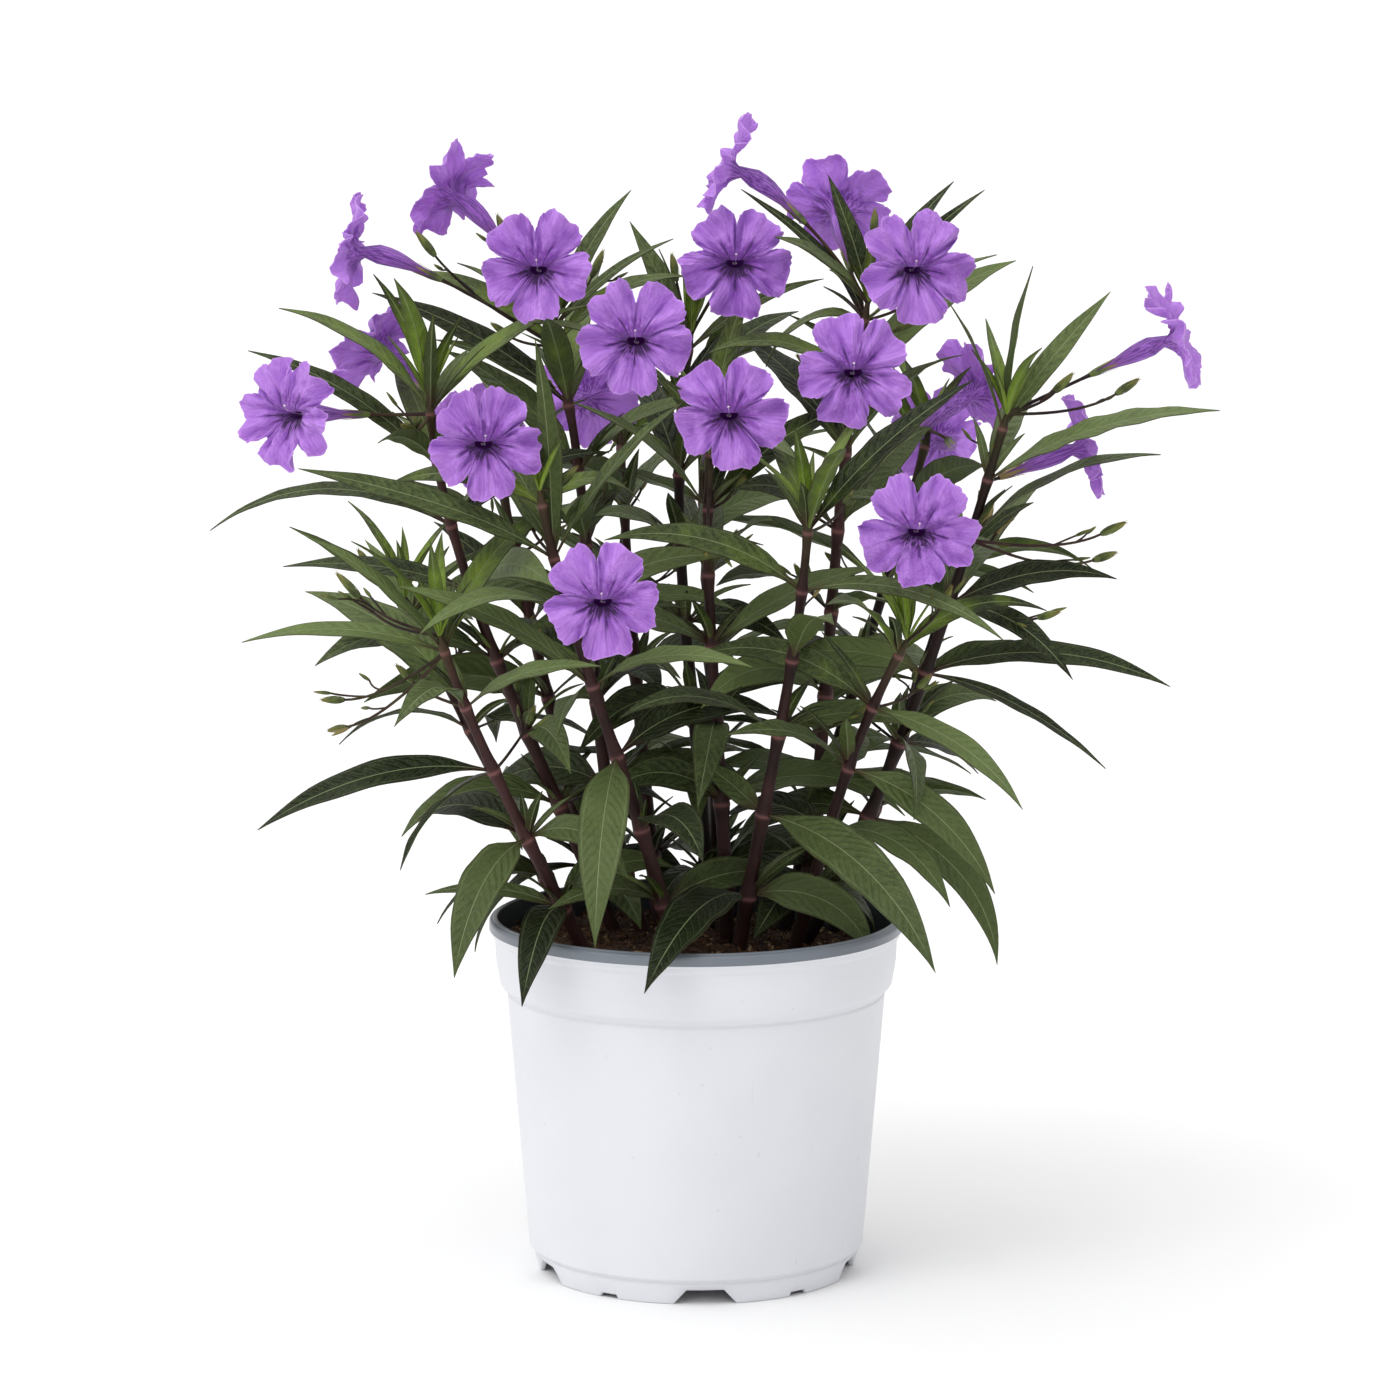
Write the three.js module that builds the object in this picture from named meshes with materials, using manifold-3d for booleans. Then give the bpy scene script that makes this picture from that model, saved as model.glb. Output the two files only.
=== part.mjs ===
// Potted mexican petunia: leafy stems with violet trumpet blooms, standing in the soil of a nursery pot.
// Units are millimetres and +Z is up. The origin is the centre of the pot's foot, on the surface below it.
// The front of the plant faces -Y.

import * as THREE from 'three';
import { mergeVertices } from 'three/addons/utils/BufferGeometryUtils.js';
import Module from 'manifold-3d';

const wasm = await Module();
wasm.setup();

const UP = new THREE.Vector3(0, 0, 1);
const DEGREE = Math.PI / 180;

// Sizes of the pot

const POT_SIDES = 28;
const POT_HEIGHT = 146;
const LIP_RADIUS = 84.2;
const FOOT_RADIUS = 64.6;
const FLOOR_UNDERSIDE = 6.4;
const FLOOR_TOP = 7.8;
const FLOOR_RADIUS = 64.4;
const FOOT_INSIDE = [[62.4, FLOOR_UNDERSIDE], [62.6, 0]];
const POT_OUTSIDE = [
  [FOOT_RADIUS, 0], [66.9, 8.6], [68.4, 10.2], [77.1, 115.5], [79.6, 118.6],
  [81.4, 128], [82, 139.8], [LIP_RADIUS - 0.2, 140.4], [LIP_RADIUS, 144.4], [83.2, POT_HEIGHT],
];
const POT_INSIDE = [[80.8, POT_HEIGHT], [80, 128], [78.2, 119.4], [75.7, 115.9], [66.8, 10.2]];
const NOTCH_TURN = 3.3;
const NOTCH_COUNT = 5;
const WIDE_NOTCH = { top: 15, bottom: 26, height: 5.8 };
const SMALL_NOTCH = { top: 7, bottom: 9, height: 1.7 };
const NOTCH_CUT_START = 58;
const NOTCH_CUT_LENGTH = 14;
const DRAIN_RADIUS = 5;
const DRAIN_CIRCLE = 50;
const DRAIN_CUT = 6;
const DRAIN_SIDES = 8;

// Sizes of the soil

const SOIL_SIDES = 15;
const SOIL_TOP = 136;
const SOIL_GAP = 0.4;
const SOIL_FLOOR_RADIUS = 63.4;
const SOIL_WALL_GAP = 0.6;
const SOIL_SLOPE = { x: -0.045, y: -0.018 };
const SOIL_BUMP = 1.6;
const SOIL_RINGS = [0.97, 0.7, 0.38];
const SOIL_RING_RADIUS = 80;
const SOIL_DOME = 4;
const SOIL_RIM_DROP = 3;

// Sizes shared by all stems

const STEM_SIDES = 4;
const BUD_SIDES = 3;
const STEM_RADIUS_LOW = 3.6;
const STEM_RADIUS_HIGH = 1.7;
const NODE_SWELL = 1.32;
const RING_ABOVE_LEAVES = 0.011;
const FIRST_PAIR_SHARE = 0.6;
const PAIRS_CLOSER_UPWARDS = 1.2;
const END_BUD_START = 1.01;
const END_BUD_RADIUS = 2.3;
const END_BUD_LENGTH = 7;
const STEM_START = 98;
const HOLE_GAP = 0.4;

// Each stem runs through four points at even spacing, the first under the soil.
// turn is the compass angle of its lowest leaf pair in degrees, and pairs is the number of leaf pairs.

const STEMS = {
  A: { path: [[-28, -22, 98], [-53, -37, 155], [-79, -53, 212], [-100, -70, 270]], pairs: 5, turn: 60 },
  B: { path: [[-19, 18, 98], [-54, 11, 185], [-88, -4, 272], [-106, -20, 358]], pairs: 8, turn: 100 },
  C: { path: [[-4, -24, 98], [-18, -32, 174], [-42, -45, 250], [-61, -60, 326]], pairs: 7, turn: 20 },
  D: { path: [[-5, 12, 98], [-36, 9, 196], [-44, 6, 290], [-58, 0, 384]], pairs: 8, turn: 75 },
  E: { path: [[3, 24, 98], [2, 26, 192], [-6, 28, 286], [-2, 30, 380]], pairs: 8, turn: 30 },
  F: { path: [[12, 4, 98], [11, -2, 180], [6, -7, 262], [6, -10, 341]], pairs: 7, turn: 110 },
  G: { path: [[13, -12, 98], [23, -26, 171], [36, -42, 244], [44, -60, 316]], pairs: 6, turn: 10 },
  H: { path: [[29, -2, 98], [45, -18, 154], [60, -36, 210], [83, -55, 266]], pairs: 5, turn: 50 },
  I: { path: [[24, 8, 98], [68, -4, 183], [99, -16, 268], [123, -30, 353]], pairs: 8, turn: 80 },
  J: { path: [[38, 22, 98], [50, 19, 197], [57, 15, 295], [69, 10, 394]], pairs: 8, turn: 40 },
  K: { path: [[-12, 40, 98], [-20, 58, 177], [-27, 78, 256], [-32, 100, 334]], pairs: 6, turn: 65 },
  L: { path: [[6, 48, 98], [8, 72, 178], [5, 100, 258], [2, 125, 335]], pairs: 6, turn: 15 },
  M: { path: [[28, 38, 98], [50, 56, 178], [75, 78, 257], [98, 100, 334]], pairs: 6, turn: 95 },
  N: { path: [[-30, 34, 98], [-48, 52, 170], [-66, 70, 243], [-82, 90, 314]], pairs: 6, turn: 35 },
  O: { path: [[46, 30, 98], [66, 40, 160], [88, 50, 222], [109, 60, 284]], pairs: 6, turn: 70 },
  P: { path: [[-36, 22, 98], [-62, 30, 156], [-92, 38, 214], [-120, 45, 270]], pairs: 5, turn: 25 },
};
const STEM_NAMES = Object.keys(STEMS);

// Leaves that show at the plant's outline and front.
// Each entry holds the leaf pair that it belongs to, its tip, its width and its arch in degrees.

const LEADING_LEAVES = {
  A: [
    [4, [-149, -98, 312], 12, 10], [4, [-178, -60, 266], 9, 18], [2, [-172, -70, 193], 13, 24],
    [2, [-120, -4, 165], 11, 20], [1, [-94, -95, 139], 18, 38], [0, [-109, -20, 158], 8, 22],
    [3, [-113, -153, 247], 13, 26],
  ],
  B: [
    [6, [-179, -5, 376], 9, 12], [7, [-103, -40, 394], 6, 8], [5, [-199, 35, 299], 7, 30],
    [4, [-168, 20, 286], 10, 14],
  ],
  C: [
    [5, [-154, -75, 336], 12, 12], [2, [-39, -105, 153], 19, 34], [3, [-116, -90, 292], 13, 14],
    [3, [22, -95, 261], 12, 24], [5, [-62, -80, 386], 10, 8], [5, [-5, -78, 362], 11, 12],
  ],
  D: [[6, [-131, 25, 397], 11, 14], [8, [-26, 15, 439], 9, 8], [8, [-9, 5, 420], 5, 10]],
  E: [[7, [-27, 40, 425], 11, 8], [7, [-15, 20, 415], 8, 10], [7, [52, 35, 402], 6, 14]],
  G: [
    [0, [-20, -105, 135], 22, 32], [2, [-29, -98, 242], 12, 26], [1, [93, -100, 142], 20, 26],
    [4, [119, -75, 271], 9, 30], [5, [108, -60, 369], 14, 12],
  ],
  H: [[3, [126, -104, 207], 11, 16], [2, [118, -62, 166], 15, 26]],
  I: [
    [6, [202, -80, 359], 14, 14], [7, [165, -10, 400], 10, 8], [8, [132, -40, 412], 14, 8],
    [7, [99, -45, 398], 8, 10], [3, [189, -30, 244], 12, 24], [3, [166, 0, 206], 7, 16],
    [1, [121, -30, 131], 14, 34], [2, [116, 30, 199], 11, 20], [4, [168, -20, 286], 12, 20],
    [4, [149, -45, 249], 10, 30],
  ],
  J: [
    [8, [53, 15, 445], 10, 8], [8, [18, 0, 440], 7, 10], [8, [31, -10, 422], 10, 14],
    [8, [104, 25, 442], 8, 10], [8, [117, 35, 438], 6, 10],
  ],
  O: [[6, [139, 50, 309], 11, 10]],
};

// Blooms: stem, leaf pair that the flower stalk leaves from, middle of the throat, facing direction

const BLOOMS = {
  b01: { stem: 'D', node: 8, throat: [-99, 20, 439], facing: [-0.7, 0.42, 0.56] },
  b02: { stem: 'D', node: 7, throat: [-138, -5, 417], facing: [-0.93, 0.15, 0.2] },
  b03: { stem: 'D', node: 8, throat: [-63, -30, 411], facing: [-0.08, -0.95, 0.15] },
  b04: { stem: 'J', node: 8, throat: [13, 5, 450], facing: [-0.85, 0, 0.5] },
  b05: { stem: 'E', node: 8, throat: [16, -10, 412], facing: [0.05, -0.97, 0.1] },
  b06: { stem: 'J', node: 8, throat: [58, 40, 432], facing: [0, 0.8, 0.5] },
  b07: { stem: 'J', node: 8, throat: [87, -20, 410], facing: [0.12, -0.97, 0.1] },
  b08: { stem: 'E', node: 7, throat: [-24, -40, 384], facing: [-0.05, -0.95, 0.2] },
  b09: { stem: 'B', node: 8, throat: [-130, 20, 376], facing: [-0.7, 0.42, 0.5] },
  b10: { stem: 'B', node: 7, throat: [-162, -35, 354], facing: [-0.6, -0.75, 0.1] },
  b11: { stem: 'B', node: 7, throat: [-82, -65, 345], facing: [0.1, -0.97, 0.1] },
  b12: { stem: 'D', node: 6, throat: [-44, 70, 352], facing: [0.35, 0.85, 0.1] },
  b13: { stem: 'F', node: 7, throat: [13, -62, 356], facing: [0, -0.98, 0.12] },
  b14: { stem: 'J', node: 6, throat: [62, -50, 372], facing: [0.05, -0.97, 0.15] },
  b15: { stem: 'I', node: 8, throat: [192, -10, 383], facing: [0.88, -0.1, 0.42] },
  b16: { stem: 'M', node: 7, throat: [118, 85, 353], facing: [0.7, 0.5, 0.4] },
  b17: { stem: 'M', node: 7, throat: [101, 116, 330], facing: [-0.3, 0.85, 0.1] },
  b18: { stem: 'I', node: 6, throat: [156, -5, 339], facing: [0.85, 0.1, 0.35] },
  b19: { stem: 'H', node: 5, throat: [86, -85, 313], facing: [0.05, -0.97, 0.1] },
  b20: { stem: 'C', node: 4, throat: [-36, -95, 287], facing: [0, -0.97, 0.12] },
  b21: { stem: 'N', node: 6, throat: [-95, 124, 330], facing: [-0.2, 0.93, 0.2] },
  b22: { stem: 'L', node: 4, throat: [13, 143, 336], facing: [0.3, 0.9, 0.25] },
  b23: { stem: 'K', node: 4, throat: [-40, 140, 258], facing: [-0.1, 0.95, 0.15] },
  b24: { stem: 'J', node: 7, throat: [92, 95, 402], facing: [0.3, 0.85, 0.3] },
};
const LIMB_RADIUS = 21.7;
const LOBE_DENT = 1.1;
const LOBE_HALF_TURN = 25 * DEGREE;
const LIMB_NOTCH = 13.9;
const LIMB_WAVE = 1.8;
const THROAT_RADIUS = 6.2;
const TUBE_LENGTH = 30;
const TUBE_RADIUS_LOW = 1.2;
const TUBE_RADIUS_MIDDLE = 2.1;
const CALYX_LENGTH = 9;
const CALYX_RADIUS = 2.3;
const CALYX_GAP = 0.35;
const CALYX_WIDEST = 0.45;
const CALYX_MOUTH_RADIUS = 1.9;
const STALK_RADIUS = 0.8;
const STALK_END_RADIUS = 1.1;
const STALK_BEND = 0.4;
const TUBE_TOWARDS_FACING = 0.65;
const TUBE_LEAVING = 9;
const TUBE_ARRIVING = 15;
const THROAT_BACK_DEPTH = 3;
const THROAT_FRONT_DEPTH = 1;
const THROAT_WALL = 1;
const THROAT_BOTTOM = 0.66;
const LIMB_LIFT = 0.8;
const LIMB_EDGE_PLAY = 0.7;
const BLOOM_SPIN_PLAY = 0.25;

// Buds and pods: stem, leaf pair, tip and length

const BUDS = [
  ['D', 7, [-112, -3, 424], 13], ['D', 8, [-80, 14, 430], 12], ['D', 8, [-37, 22, 415], 13],
  ['E', 8, [-10, 36, 413], 12], ['J', 8, [72, 16, 432], 11], ['J', 7, [90, 2, 388], 13],
  ['I', 5, [173, -10, 308], 12], ['I', 5, [171, 12, 293], 12], ['I', 4, [145, -34, 275], 10],
  ['I', 8, [177, -15, 366], 12], ['I', 8, [150, -22, 369], 11], ['A', 5, [-142, -50, 293], 15],
  ['A', 5, [-136, -42, 284], 13], ['A', 4, [-148, -58, 243], 10], ['A', 4, [-146, -48, 229], 9],
  ['B', 7, [-116, -42, 350], 12], ['F', 6, [4, -62, 300], 10], ['H', 5, [100, -70, 290], 11],
  ['C', 7, [-46, -54, 335], 11], ['L', 7, [-14, 150, 352], 12], ['N', 6, [-104, 100, 330], 11],
  ['K', 7, [-44, 112, 350], 11], ['O', 6, [124, 74, 306], 12], ['P', 5, [-140, 52, 290], 12],
];
const BUD_RADIUS = 1.9;
const BUD_STALK_RADIUS = 0.65;
const BUD_LIFT = 0.35;
const BUD_WIDEST = 0.4;

// Sizes of the leaves that grow in pairs, from the lowest pair to the highest, with angles in degrees

const LEAF_LENGTH = [68, 88];
const LEAF_WIDTH_SHARE = [0.25, 0.15];
const LEAF_RISE = [22, 58];
const LEAF_CURL = [82, 44];
const LEAF_CURL_LEAST = 12;
const LEAF_SHORTER_EACH_TRY = 0.025;
const LEAF_PLAY = { turn: 14, rise: 9, curl: 16, length: 0.16, width: 0.12, roll: 20, sweep: 0.09 };
const LEAF_THICKNESS_LOW = 2;
const LEAF_THICKNESS_HIGH = 1;
const LEAF_FOLD = 14 * DEGREE;
const LEAF_TILT = 44 * DEGREE;
const LEAF_TAPER = 1.25;
const LEAF_OUTLINE_SCALE = 4.69;
const FRONT = new THREE.Vector3(0, -1, 0);
const LIGHT_PARTING = 40;
const ROOT_DEPTH = 2.4;
const LONG_CUTS = [0.17, 0.42, 0.72];
const MIDDLE_CUTS = [0.22, 0.58];
const SHORT_CUTS = [0.36];
const LEAF_TRIES = 14;
const LEAF_CLEARANCE = 0.5;
const LEAF_TEST_START = 6.5;

// The play of the leading leaves from one try to the next, with angles in degrees

const LEADING_PLAY = { depth: 6, arch: 3, roll: 10 };
const SAME_SIDE = 70 * DEGREE;
const LEAST_ARCH = 0.02;

// The young leaves round the end of each stem: two long, the others short, with angles in degrees

const YOUNG_LEAVES = 3;
const YOUNG_LENGTH = [52, 36];
const YOUNG_LONG_COUNT = 2;
const YOUNG_WIDTH_SHARE = 0.17;
const YOUNG_RISE = 74;
const YOUNG_RISE_STEP = 9;
const YOUNG_CURL = [24, 44];
const YOUNG_PLAY = { turn: 20, turnEachTry: 6, rise: 8, riseEachTry: 3, length: 0.2, roll: 15 };

// The space that the leaf tips stay in, wider with height and flatter from front to back

const CANOPY_RADIUS_LOW = 128;
const CANOPY_RADIUS_HIGH = 196;
const CANOPY_LOW = 150;
const CANOPY_HIGH = 330;
const CANOPY_TOP = 428;
const CANOPY_DEPTH_SHARE = 0.84;

// Seeded draws: the same keys always give the same number between 0 and 1

const SEED = 20417;
const CHANNELS = {
  turn: 1, rise: 2, curl: 3, length: 4, width: 5, roll: 6, sweep: 7, ruffle: 8, spin: 9, bump: 10,
};
const KEYS = { young: 60, leading: 77, bloom: 90, limbEdge: 91, soil: 95 };

function draw(...keys) {
  let state = SEED;
  for (const key of keys) {
    state = Math.imul(state ^ key, 2654435761);
    state ^= state >>> 15;
    state = Math.imul(state, 2246822519);
    state ^= state >>> 13;
  }
  return (state >>> 0) / 4294967296;
}

function spread(amount, ...keys) {
  return amount * (2 * draw(...keys) - 1);
}

function mix(ends, share) {
  return ends[0] + (ends[1] - ends[0]) * share;
}

// Solids from points and faces

function vec(list) {
  return new THREE.Vector3(...list);
}

function along(start, direction, distance) {
  return start.clone().addScaledVector(direction, distance);
}

function solidFromFaces(points, faces) {
  let volume = 0;
  for (const [a, b, c] of faces) {
    volume += points[a].dot(points[b].clone().cross(points[c]));
  }
  const vertProperties = new Float32Array(points.flatMap((point) => point.toArray()));
  const ordered = volume > 0 ? faces : faces.map(([a, b, c]) => [a, c, b]);
  const triVerts = new Uint32Array(ordered.flat());
  return new wasm.Manifold(new wasm.Mesh({ numProp: 3, vertProperties, triVerts }));
}

function solidFromGeometry(geometry) {
  const bare = geometry.clone();
  bare.deleteAttribute('normal');
  bare.deleteAttribute('uv');
  const merged = mergeVertices(bare, 1e-4);
  const points = [];
  for (let i = 0; i < merged.attributes.position.count; i += 1) {
    points.push(new THREE.Vector3().fromBufferAttribute(merged.attributes.position, i));
  }
  const corners = Array.from(merged.index.array);
  const faces = [];
  for (let i = 0; i < corners.length; i += 3) {
    const face = corners.slice(i, i + 3);
    if (new Set(face).size === 3) {
      faces.push(face);
    }
  }
  return solidFromFaces(points, faces);
}

// Faces between two rings of one loft. A ring may be a single point, or have twice its neighbour's corners.
// Rings of even count are split alike on both faces of a blade.

function bandFaces(first, second) {
  const faces = [];
  if (first.length > second.length) {
    return bandFaces(second, first).map(([a, b, c]) => [a, c, b]);
  }
  const count = first.length;
  for (let i = 0; i < count; i += 1) {
    const next = (i + 1) % count;
    if (count === 1) {
      second.forEach((corner, k) => faces.push([first[0], corner, second[(k + 1) % second.length]]));
    } else if (second.length === 2 * count) {
      const middle = second[2 * i + 1];
      faces.push([first[i], second[2 * i], middle]);
      faces.push([first[i], middle, first[next]]);
      faces.push([first[next], middle, second[(2 * i + 2) % second.length]]);
    } else if (i % 2 === 0) {
      faces.push([first[i], second[i], second[next]]);
      faces.push([first[i], second[next], first[next]]);
    } else {
      faces.push([first[i], second[i], first[next]]);
      faces.push([first[next], second[i], second[next]]);
    }
  }
  return faces;
}

function capFaces(ring) {
  const faces = [];
  for (let i = 1; i + 1 < ring.length; i += 1) {
    faces.push([ring[0], ring[i], ring[i + 1]]);
  }
  return faces;
}

function loft(rings) {
  const points = rings.flat();
  let offset = 0;
  const numbered = rings.map((ring) => {
    const start = offset;
    offset += ring.length;
    return ring.map((_, i) => start + i);
  });
  const faces = capFaces(numbered[0]);
  for (let i = 0; i + 1 < numbered.length; i += 1) {
    faces.push(...bandFaces(numbered[i], numbered[i + 1]));
  }
  faces.push(...capFaces(numbered[numbered.length - 1]).map(([a, b, c]) => [a, c, b]));
  return solidFromFaces(points, faces);
}

function ringAround(centre, across, other, radius, sides, turn = 0) {
  const ring = [];
  for (let i = 0; i < sides; i += 1) {
    const angle = turn + 2 * Math.PI * i / sides;
    const point = centre.clone();
    point.addScaledVector(across, radius * Math.cos(angle));
    point.addScaledVector(other, radius * Math.sin(angle));
    ring.push(point);
  }
  return ring;
}

function crossAxes(tangent, guide) {
  const across = guide.clone().addScaledVector(tangent, -guide.dot(tangent)).normalize();
  return [across, tangent.clone().cross(across)];
}

function fuse(solids) {
  return wasm.Manifold.union(solids);
}

// Stems

function stemPoint(stem, share) {
  const s = 3 * share;
  const weights = [
    -(s - 1) * (s - 2) * (s - 3) / 6,
    s * (s - 2) * (s - 3) / 2,
    -s * (s - 1) * (s - 3) / 2,
    s * (s - 1) * (s - 2) / 6,
  ];
  const point = new THREE.Vector3();
  stem.path.forEach((corner, i) => point.addScaledVector(vec(corner), weights[i]));
  return point;
}

function stemDirection(stem, share) {
  const step = 0.01;
  return stemPoint(stem, share + step).sub(stemPoint(stem, share - step)).normalize();
}

function stemRadius(share) {
  return mix([STEM_RADIUS_LOW, STEM_RADIUS_HIGH], share);
}

function nodeShare(stem, node) {
  const top = stem.path[3][2];
  const soil = (SOIL_TOP - STEM_START) / (top - STEM_START);
  if (node >= stem.pairs) {
    return 1;
  }
  const share = (node + FIRST_PAIR_SHARE) / stem.pairs;
  return soil + (1 - soil) * (1 - (1 - share) ** PAIRS_CLOSER_UPWARDS);
}

function stemRing(stem, share, radius) {
  const tangent = stemDirection(stem, share);
  const [across, other] = crossAxes(tangent, new THREE.Vector3(1, 0, 0));
  return ringAround(stemPoint(stem, share), across, other, radius, STEM_SIDES, (stem.turn + 45) * DEGREE);
}

function stemTube(stem) {
  const rings = [stemRing(stem, 0, STEM_RADIUS_LOW)];
  for (let node = 0; node < stem.pairs; node += 1) {
    const share = nodeShare(stem, node);
    rings.push(stemRing(stem, share + RING_ABOVE_LEAVES, NODE_SWELL * stemRadius(share)));
    rings.push(stemRing(stem, share + 2 * RING_ABOVE_LEAVES, stemRadius(share)));
  }
  rings.push(stemRing(stem, END_BUD_START, END_BUD_RADIUS));
  rings.push([along(stemPoint(stem, 1), stemDirection(stem, 1), END_BUD_LENGTH)]);
  return loft(rings);
}

function stemHole(stem) {
  const low = stemRing(stem, 0, STEM_RADIUS_LOW + HOLE_GAP);
  const share = nodeShare(stem, 0);
  const high = stemRing(stem, share, NODE_SWELL * stemRadius(share) + HOLE_GAP);
  const below = low.map((point, i) => point.clone().lerp(high[i], -0.02));
  return loft([below, high]);
}

// Leaves. A rib is an arc in an upright plane that leaves the stem at the angle rise and ends at fall.

function ribPoint(leaf, share) {
  const curl = leaf.fall - leaf.rise;
  const angle = leaf.rise + curl * share;
  const run = leaf.length * (Math.sin(angle) - Math.sin(leaf.rise)) / curl;
  const lift = leaf.length * (Math.cos(leaf.rise) - Math.cos(angle)) / curl;
  const side = leaf.sweep * leaf.length * share * share;
  const [forwardX, forwardY] = [Math.cos(leaf.heading), Math.sin(leaf.heading)];
  return new THREE.Vector3(
    leaf.root.x + run * forwardX - side * forwardY,
    leaf.root.y + run * forwardY + side * forwardX,
    leaf.root.z + lift,
  );
}

function leafOutline(share) {
  return LEAF_OUTLINE_SCALE * share * (1 - share) ** LEAF_TAPER;
}

function leafSection(leaf, share, margin) {
  const step = 0.01;
  const tangent = ribPoint(leaf, share + step).sub(ribPoint(leaf, share - step)).normalize();
  const level = new THREE.Vector3(-Math.sin(leaf.heading), Math.cos(leaf.heading), 0);
  const [flat] = crossAxes(tangent, level);
  const upper = tangent.clone().cross(flat);
  const side = flat.clone().multiplyScalar(Math.cos(leaf.roll)).addScaledVector(upper, Math.sin(leaf.roll));
  const face = upper.clone().multiplyScalar(Math.cos(leaf.roll)).addScaledVector(flat, -Math.sin(leaf.roll));
  const half = leaf.width / 2 * leafOutline(share) + margin;
  const thick = mix([LEAF_THICKNESS_LOW, LEAF_THICKNESS_HIGH], share) / 2 + margin;
  const rib = ribPoint(leaf, share);
  const edge = (sign) => {
    const point = rib.clone().addScaledVector(side, sign * half * Math.cos(LEAF_FOLD));
    return point.addScaledVector(face, half * Math.sin(LEAF_FOLD));
  };
  return [edge(1), along(rib, face, thick), edge(-1), along(rib, face, -thick)];
}

function rootInStem(leaf) {
  const leaving = ribPoint(leaf, 0.02).sub(leaf.root).normalize();
  return along(leaf.root, leaving, -ROOT_DEPTH);
}

function leafSolid(leaf) {
  const sections = leaf.cuts.map((cut) => leafSection(leaf, cut, 0));
  return loft([[rootInStem(leaf)], ...sections, [ribPoint(leaf, 1)]]);
}

// The leaf with room to spare on every side, without the stretch at its root

function leafEnvelope(leaf) {
  const root = rootInStem(leaf);
  const sections = leaf.cuts.map((cut) => leafSection(leaf, cut, LEAF_CLEARANCE));
  const share = (LEAF_TEST_START + ROOT_DEPTH) / root.distanceTo(ribPoint(leaf, leaf.cuts[0]));
  const start = sections[0].map((point) => root.clone().lerp(point, share));
  return loft([start, ...sections, [ribPoint(leaf, 1 + LEAF_CLEARANCE / leaf.length)]]);
}

// A leaf's upper face leans towards the light, which reaches the front half of the plant from the front.

function outwardRoll(heading, light) {
  return -LEAF_TILT * (light.y * Math.cos(heading) - light.x * Math.sin(heading));
}

function leadingLeaf(stem, entry, attempt) {
  const [node, tipList, width, arch] = entry;
  const root = stemPoint(stem, nodeShare(stem, node));
  const tip = vec(tipList);
  const keys = [KEYS.leading, node, attempt];
  tip.y += spread(LEADING_PLAY.depth * attempt, ...keys, CHANNELS.turn);
  const chord = tip.clone().sub(root);
  const level = Math.asin(chord.z / chord.length());
  const half = (arch + spread(LEADING_PLAY.arch * attempt, ...keys, CHANNELS.curl)) * DEGREE + LEAST_ARCH;
  const heading = Math.atan2(chord.y, chord.x);
  return {
    root,
    heading,
    rise: level + half,
    fall: level - half,
    length: chord.length() * half / Math.sin(half),
    width,
    roll: outwardRoll(heading, FRONT) + spread(LEADING_PLAY.roll * DEGREE, ...keys, CHANNELS.roll),
    sweep: 0,
    cuts: LONG_CUTS,
  };
}

function pairLeaf(stem, stemIndex, node, side, attempt) {
  const keys = [stemIndex, 2 * node + side, attempt];
  const height = node / (stem.pairs - 1);
  const loose = 1 + attempt / 4;
  const turn = stem.turn + 90 * node + 180 * side + spread(LEAF_PLAY.turn * loose, ...keys, CHANNELS.turn);
  const rise = mix(LEAF_RISE, height) + spread(LEAF_PLAY.rise * loose, ...keys, CHANNELS.rise);
  const curl = mix(LEAF_CURL, height) + spread(LEAF_PLAY.curl * loose, ...keys, CHANNELS.curl);
  const fullLength = mix(LEAF_LENGTH, height) * (1 + spread(LEAF_PLAY.length, ...keys, CHANNELS.length));
  const length = fullLength * (1 - LEAF_SHORTER_EACH_TRY * attempt);
  const widthShare = mix(LEAF_WIDTH_SHARE, height) * (1 + spread(LEAF_PLAY.width, ...keys, CHANNELS.width));
  const root = stemPoint(stem, nodeShare(stem, node));
  const light = new THREE.Vector3(0.5 * root.x, root.y - LIGHT_PARTING, 0).normalize();
  return {
    root,
    heading: turn * DEGREE,
    rise: rise * DEGREE,
    fall: (rise - Math.max(curl, LEAF_CURL_LEAST)) * DEGREE,
    length,
    width: length * widthShare,
    roll: outwardRoll(turn * DEGREE, light) + spread(LEAF_PLAY.roll * DEGREE, ...keys, CHANNELS.roll),
    sweep: spread(LEAF_PLAY.sweep, ...keys, CHANNELS.sweep),
    cuts: MIDDLE_CUTS,
  };
}

function youngLeaf(stem, stemIndex, number, attempt) {
  const keys = [stemIndex, KEYS.young + number, attempt];
  const risePlay = YOUNG_PLAY.rise + YOUNG_PLAY.riseEachTry * attempt;
  const turnPlay = YOUNG_PLAY.turn + YOUNG_PLAY.turnEachTry * attempt;
  const lean = YOUNG_RISE - YOUNG_RISE_STEP * (number % 2) + spread(risePlay, ...keys, CHANNELS.rise);
  const fullLength = YOUNG_LENGTH[number < YOUNG_LONG_COUNT ? 0 : 1];
  const length = fullLength * (1 + spread(YOUNG_PLAY.length, ...keys, CHANNELS.length));
  return {
    root: stemPoint(stem, 1),
    heading: (stem.turn + 45 + 90 * number + spread(turnPlay, ...keys, CHANNELS.turn)) * DEGREE,
    rise: lean * DEGREE,
    fall: (lean - mix(YOUNG_CURL, draw(...keys, CHANNELS.curl))) * DEGREE,
    length,
    width: length * YOUNG_WIDTH_SHARE,
    roll: spread(YOUNG_PLAY.roll * DEGREE, ...keys, CHANNELS.roll),
    sweep: 0,
    cuts: SHORT_CUTS,
  };
}

// Blooms. The trumpet leaves its calyx along the stalk, bends to face outwards and opens in five lobes.

function unit(x, y, z) {
  return new THREE.Vector3(x, y, z).normalize();
}

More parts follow.
